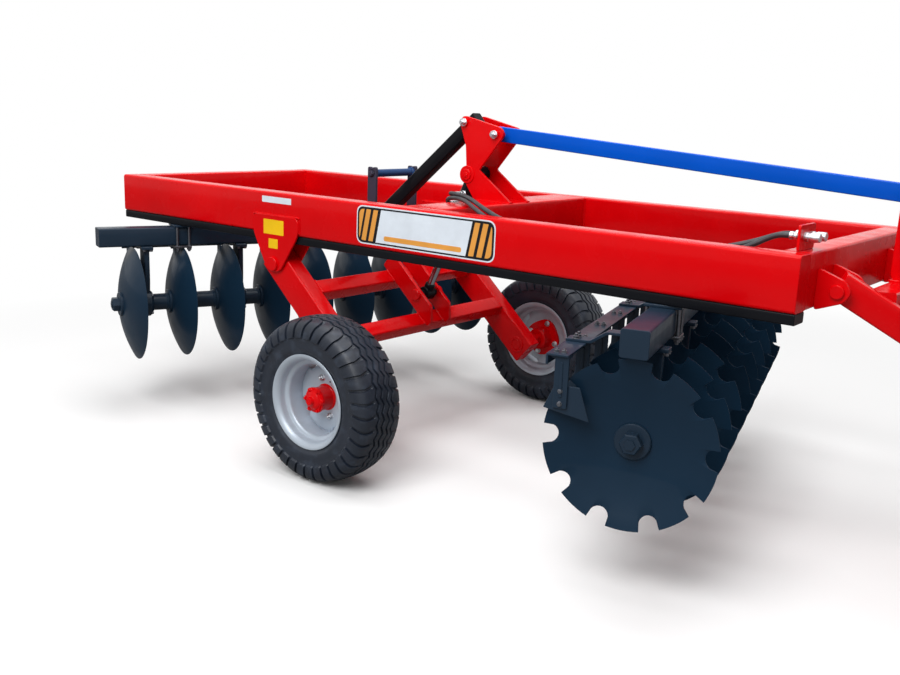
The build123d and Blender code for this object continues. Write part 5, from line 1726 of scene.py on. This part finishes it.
@dataclass(frozen=True)
class Hoses:
    """Two hydraulic hoses from the barrel to the bulkhead, with their fittings."""

    radius: float = 10.0
    wall_y: float = -591.0
    bulkhead_x: float = 1945.0
    coupler_z: float = 1300.0

    def route(self, index: int) -> list[Point]:
        """Control points of one hose.

        Args:
            index: 0 for the upper hose and 1 for the lower one.

        Returns:
            The points from the barrel's port to the bulkhead.
        """
        free = (
            ((130, -225, 1290), (330, -345, 1292), (520, -490, 1268), (690, -572, 1232)),
            ((128, -240, 1268), (324, -367, 1282), (508, -506, 1252), (668, -580, 1210)),
        )[index]
        x, _, z = LiftCylinder().port(index)
        wall, run, end, high = self.wall_y, 1212 - 30 * index, -500 - 60 * index, self.coupler_z
        points = [(x, -75, z), (x, -100, z), (x, -140, z), *free]
        points += [(along, wall, run) for along in (860, 1000, 1500, 1600)]
        points += [(1760, (wall + end) / 2, (run + high) / 2), (1850, end, high - 4)]
        return points + [(1900, end, high), (1940, end, high)]

    def build(self) -> None:
        """Make the hoses, the crimped ferrules and the bulkhead with its couplers."""
        crimp = [(0, 0), (13, 0), (13, 10), (11.5, 12), (14, 14), (14, 24), (12, 26), (14, 28), (14, 40)]
        crimp += [(12, 42), (0, 42)]
        socket = [(0, 0), (16, 0), (16, 14), (13, 16), (13, 22), (16, 24), (16, 52), (14, 55), (0, 55)]
        ferrules, couplers = [], []
        for index, name in enumerate(("upper_hose", "lower_hose")):
            points = self.route(index)
            hose = piece(f"{name}_line", tube(nurbs(points, 10), self.radius, 16), Finish.HOSE, "", name)
            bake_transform(hose)
            ferrules.append(lathe(crimp, aimed(points[0], RIGHT), 24))
            y = points[-1][1]
            couplers.append(lathe(crimp, aimed((self.bulkhead_x, y, self.coupler_z), (-1, 0, 0)), 24))
            couplers.append(lathe(socket, aimed((self.bulkhead_x + 10, y, self.coupler_z), FORWARD), 24))
        piece("port_ferrules", joined(*ferrules), Finish.ZINC, "barrel")
        shape = rounded([(-75, 0), (75, 0), (75, 90), (-75, 90)], 10)
        stand = aimed((self.bulkhead_x, -530.0, FRAME_TOP), FORWARD)
        piece("bulkhead_plate", plate(shape, stand, 10, 1.5), Finish.RED, "frame", "hose_bulkhead")
        piece("bulkhead_couplers", joined(*couplers), Finish.ZINC, "frame")
        repaint(Finish.CLIP, "hose_clips")
        seats = [(x, -575.0, 1197.0) for x in (1015.0, 1490.0)]
        piece("clip_bolts", bolts(seats, LEFT, 7), Finish.ZINC, "frame")


@dataclass(frozen=True)
class Studio:
    """Floor, lamps, surroundings and camera."""

    eye: Point = (3081.4, -3943.8, 1671.4)
    right: Point = (0.7807, 0.6236, 0.0391)
    up: Point = (-0.1703, 0.1523, 0.9735)
    ahead: Point = (-0.6012, 0.7668, -0.2250)
    lens: float = 39.16
    floor_sides: int = 96
    floor_z: float = -0.001
    fade: Flat = (2.6, 5.5)
    ambient: float = 0.36
    aim: Point = (-0.6, 0.0, 0.8)

    def camera(self) -> None:
        """Camera at the photograph's view."""
        data = bpy.data.cameras.new("view")
        data.sensor_width = 36.0
        data.lens = self.lens
        data.clip_end = 200.0
        made = bpy.data.objects.new("view", data)
        turn = np.column_stack((self.right, self.up, -np.array(self.ahead), metres(self.eye)))
        made.matrix_world = Matrix([*turn.tolist(), [0, 0, 0, 1]])
        bpy.context.scene.collection.objects.link(made)
        bpy.context.scene.camera = made

    def floor(self) -> None:
        """Pale round floor that turns to plain white away from the machine for camera rays."""
        height = np.full(self.floor_sides, self.floor_z)
        edge = circle(self.floor_sides)
        shell = loft(np.stack([np.column_stack((r * edge, height)) for r in (0.01, 2, 4, 8, 16, 40)]))
        mesh = bpy.data.meshes.new("floor")
        rows = [row for face in shell.faces[:2] for row in face[:, ::-1].tolist()]
        mesh.from_pydata(shell.verts.tolist(), [], rows)
        graph = Graph("floor_pale")
        tree = graph.tree
        seen = added(tree, "LightPath").outputs["Is Camera Ray"]
        pale = graph.tint(graph.noise(0.8, 4), (0.93, 0.93, 0.93, 1), (0.97, 0.97, 0.97, 1))
        colour = graph.tint(seen, (0.34, 0.34, 0.34, 1), pale)
        graph.shade(Base_Color=colour, Roughness=0.75, Specular_IOR_Level=0.2)
        length = tree.nodes.new("ShaderNodeVectorMath")
        length.operation = "LENGTH"
        tree.links.new(graph.coords, length.inputs[0])
        share = combined(tree, "MULTIPLY", graph.ranged(length.outputs["Value"], *self.fade, 0, 1), seen)
        mix = added(tree, "MixShader", Fac=share)
        tree.links.new(graph.shader.outputs["BSDF"], mix.inputs[1])
        tree.links.new(added(tree, "Emission").outputs["Emission"], mix.inputs[2])
        fill(tree, tree.nodes["Material Output"], Surface=mix.outputs["Shader"])
        mesh.materials.append(graph.material)
        made = bpy.data.objects.new("floor", mesh)
        bpy.context.scene.collection.objects.link(made)

    def light(self) -> None:
        """White surroundings, dimmed for diffuse rays, and two broad lamps, from the right and from above."""
        world = bpy.data.worlds.new("surroundings")
        world.use_nodes = True
        tree = world.node_tree
        rays = added(tree, "LightPath").outputs
        glossy = combined(tree, "MAXIMUM", rays["Is Glossy Ray"], rays["Is Transmission Ray"])
        seen = combined(tree, "MAXIMUM", rays["Is Camera Ray"], glossy)
        power = added(tree, "MapRange", Value=seen, To_Min=self.ambient, To_Max=1.0)
        fill(tree, tree.nodes["Background"], Strength=power.outputs["Result"], Color=(1, 1, 1, 1))
        bpy.context.scene.world = world
        for name, place, size, watts in (
            ("key", (0.5, -5.6, 5.8), 4.5, 420.0),
            ("sky", (-0.5, 0.5, 7.0), 6.0, 330.0),
        ):
            lamp = bpy.data.lights.new(name, "AREA")
            lamp.size = size
            lamp.energy = watts
            made = bpy.data.objects.new(name, lamp)
            view = aimed(place, tuple(np.subtract(place, self.aim)), (0.0, 1.0, 0.2))
            turn = np.column_stack((view.across, view.up, view.along, view.origin))
            made.matrix_world = Matrix([*turn.tolist(), [0, 0, 0, 1]])
            bpy.context.scene.collection.objects.link(made)

    def build(self) -> None:
        """Set the stage."""
        bpy.context.scene.view_settings.view_transform = "Standard"
        self.camera()
        self.floor()
        self.light()


def main() -> None:
    """Build every sub-assembly in order."""
    logging.basicConfig(level=logging.INFO, format="%(name)s %(message)s")
    Studio().build()
    MainFrame().build()
    Tower().build()
    Drawbar().build()
    Jack().build()
    Carriage().build()
    LiftCylinder().build()
    Wheel(-1, "right_wheel").build()
    Wheel(1, "left_wheel").build()
    front = Gang("front", (1331.0, 0.0, 585.0), 15.0, True, -1, True)
    rear = Gang("rear", (-1150.0, 0.0, 585.0), 21.5, False, 1, False)
    front.build()
    replace(rear, centre=(-1150.0, front.reach - rear.reach, 585.0)).build()
    Hoses().build()


if __name__ == "__main__":
    main()
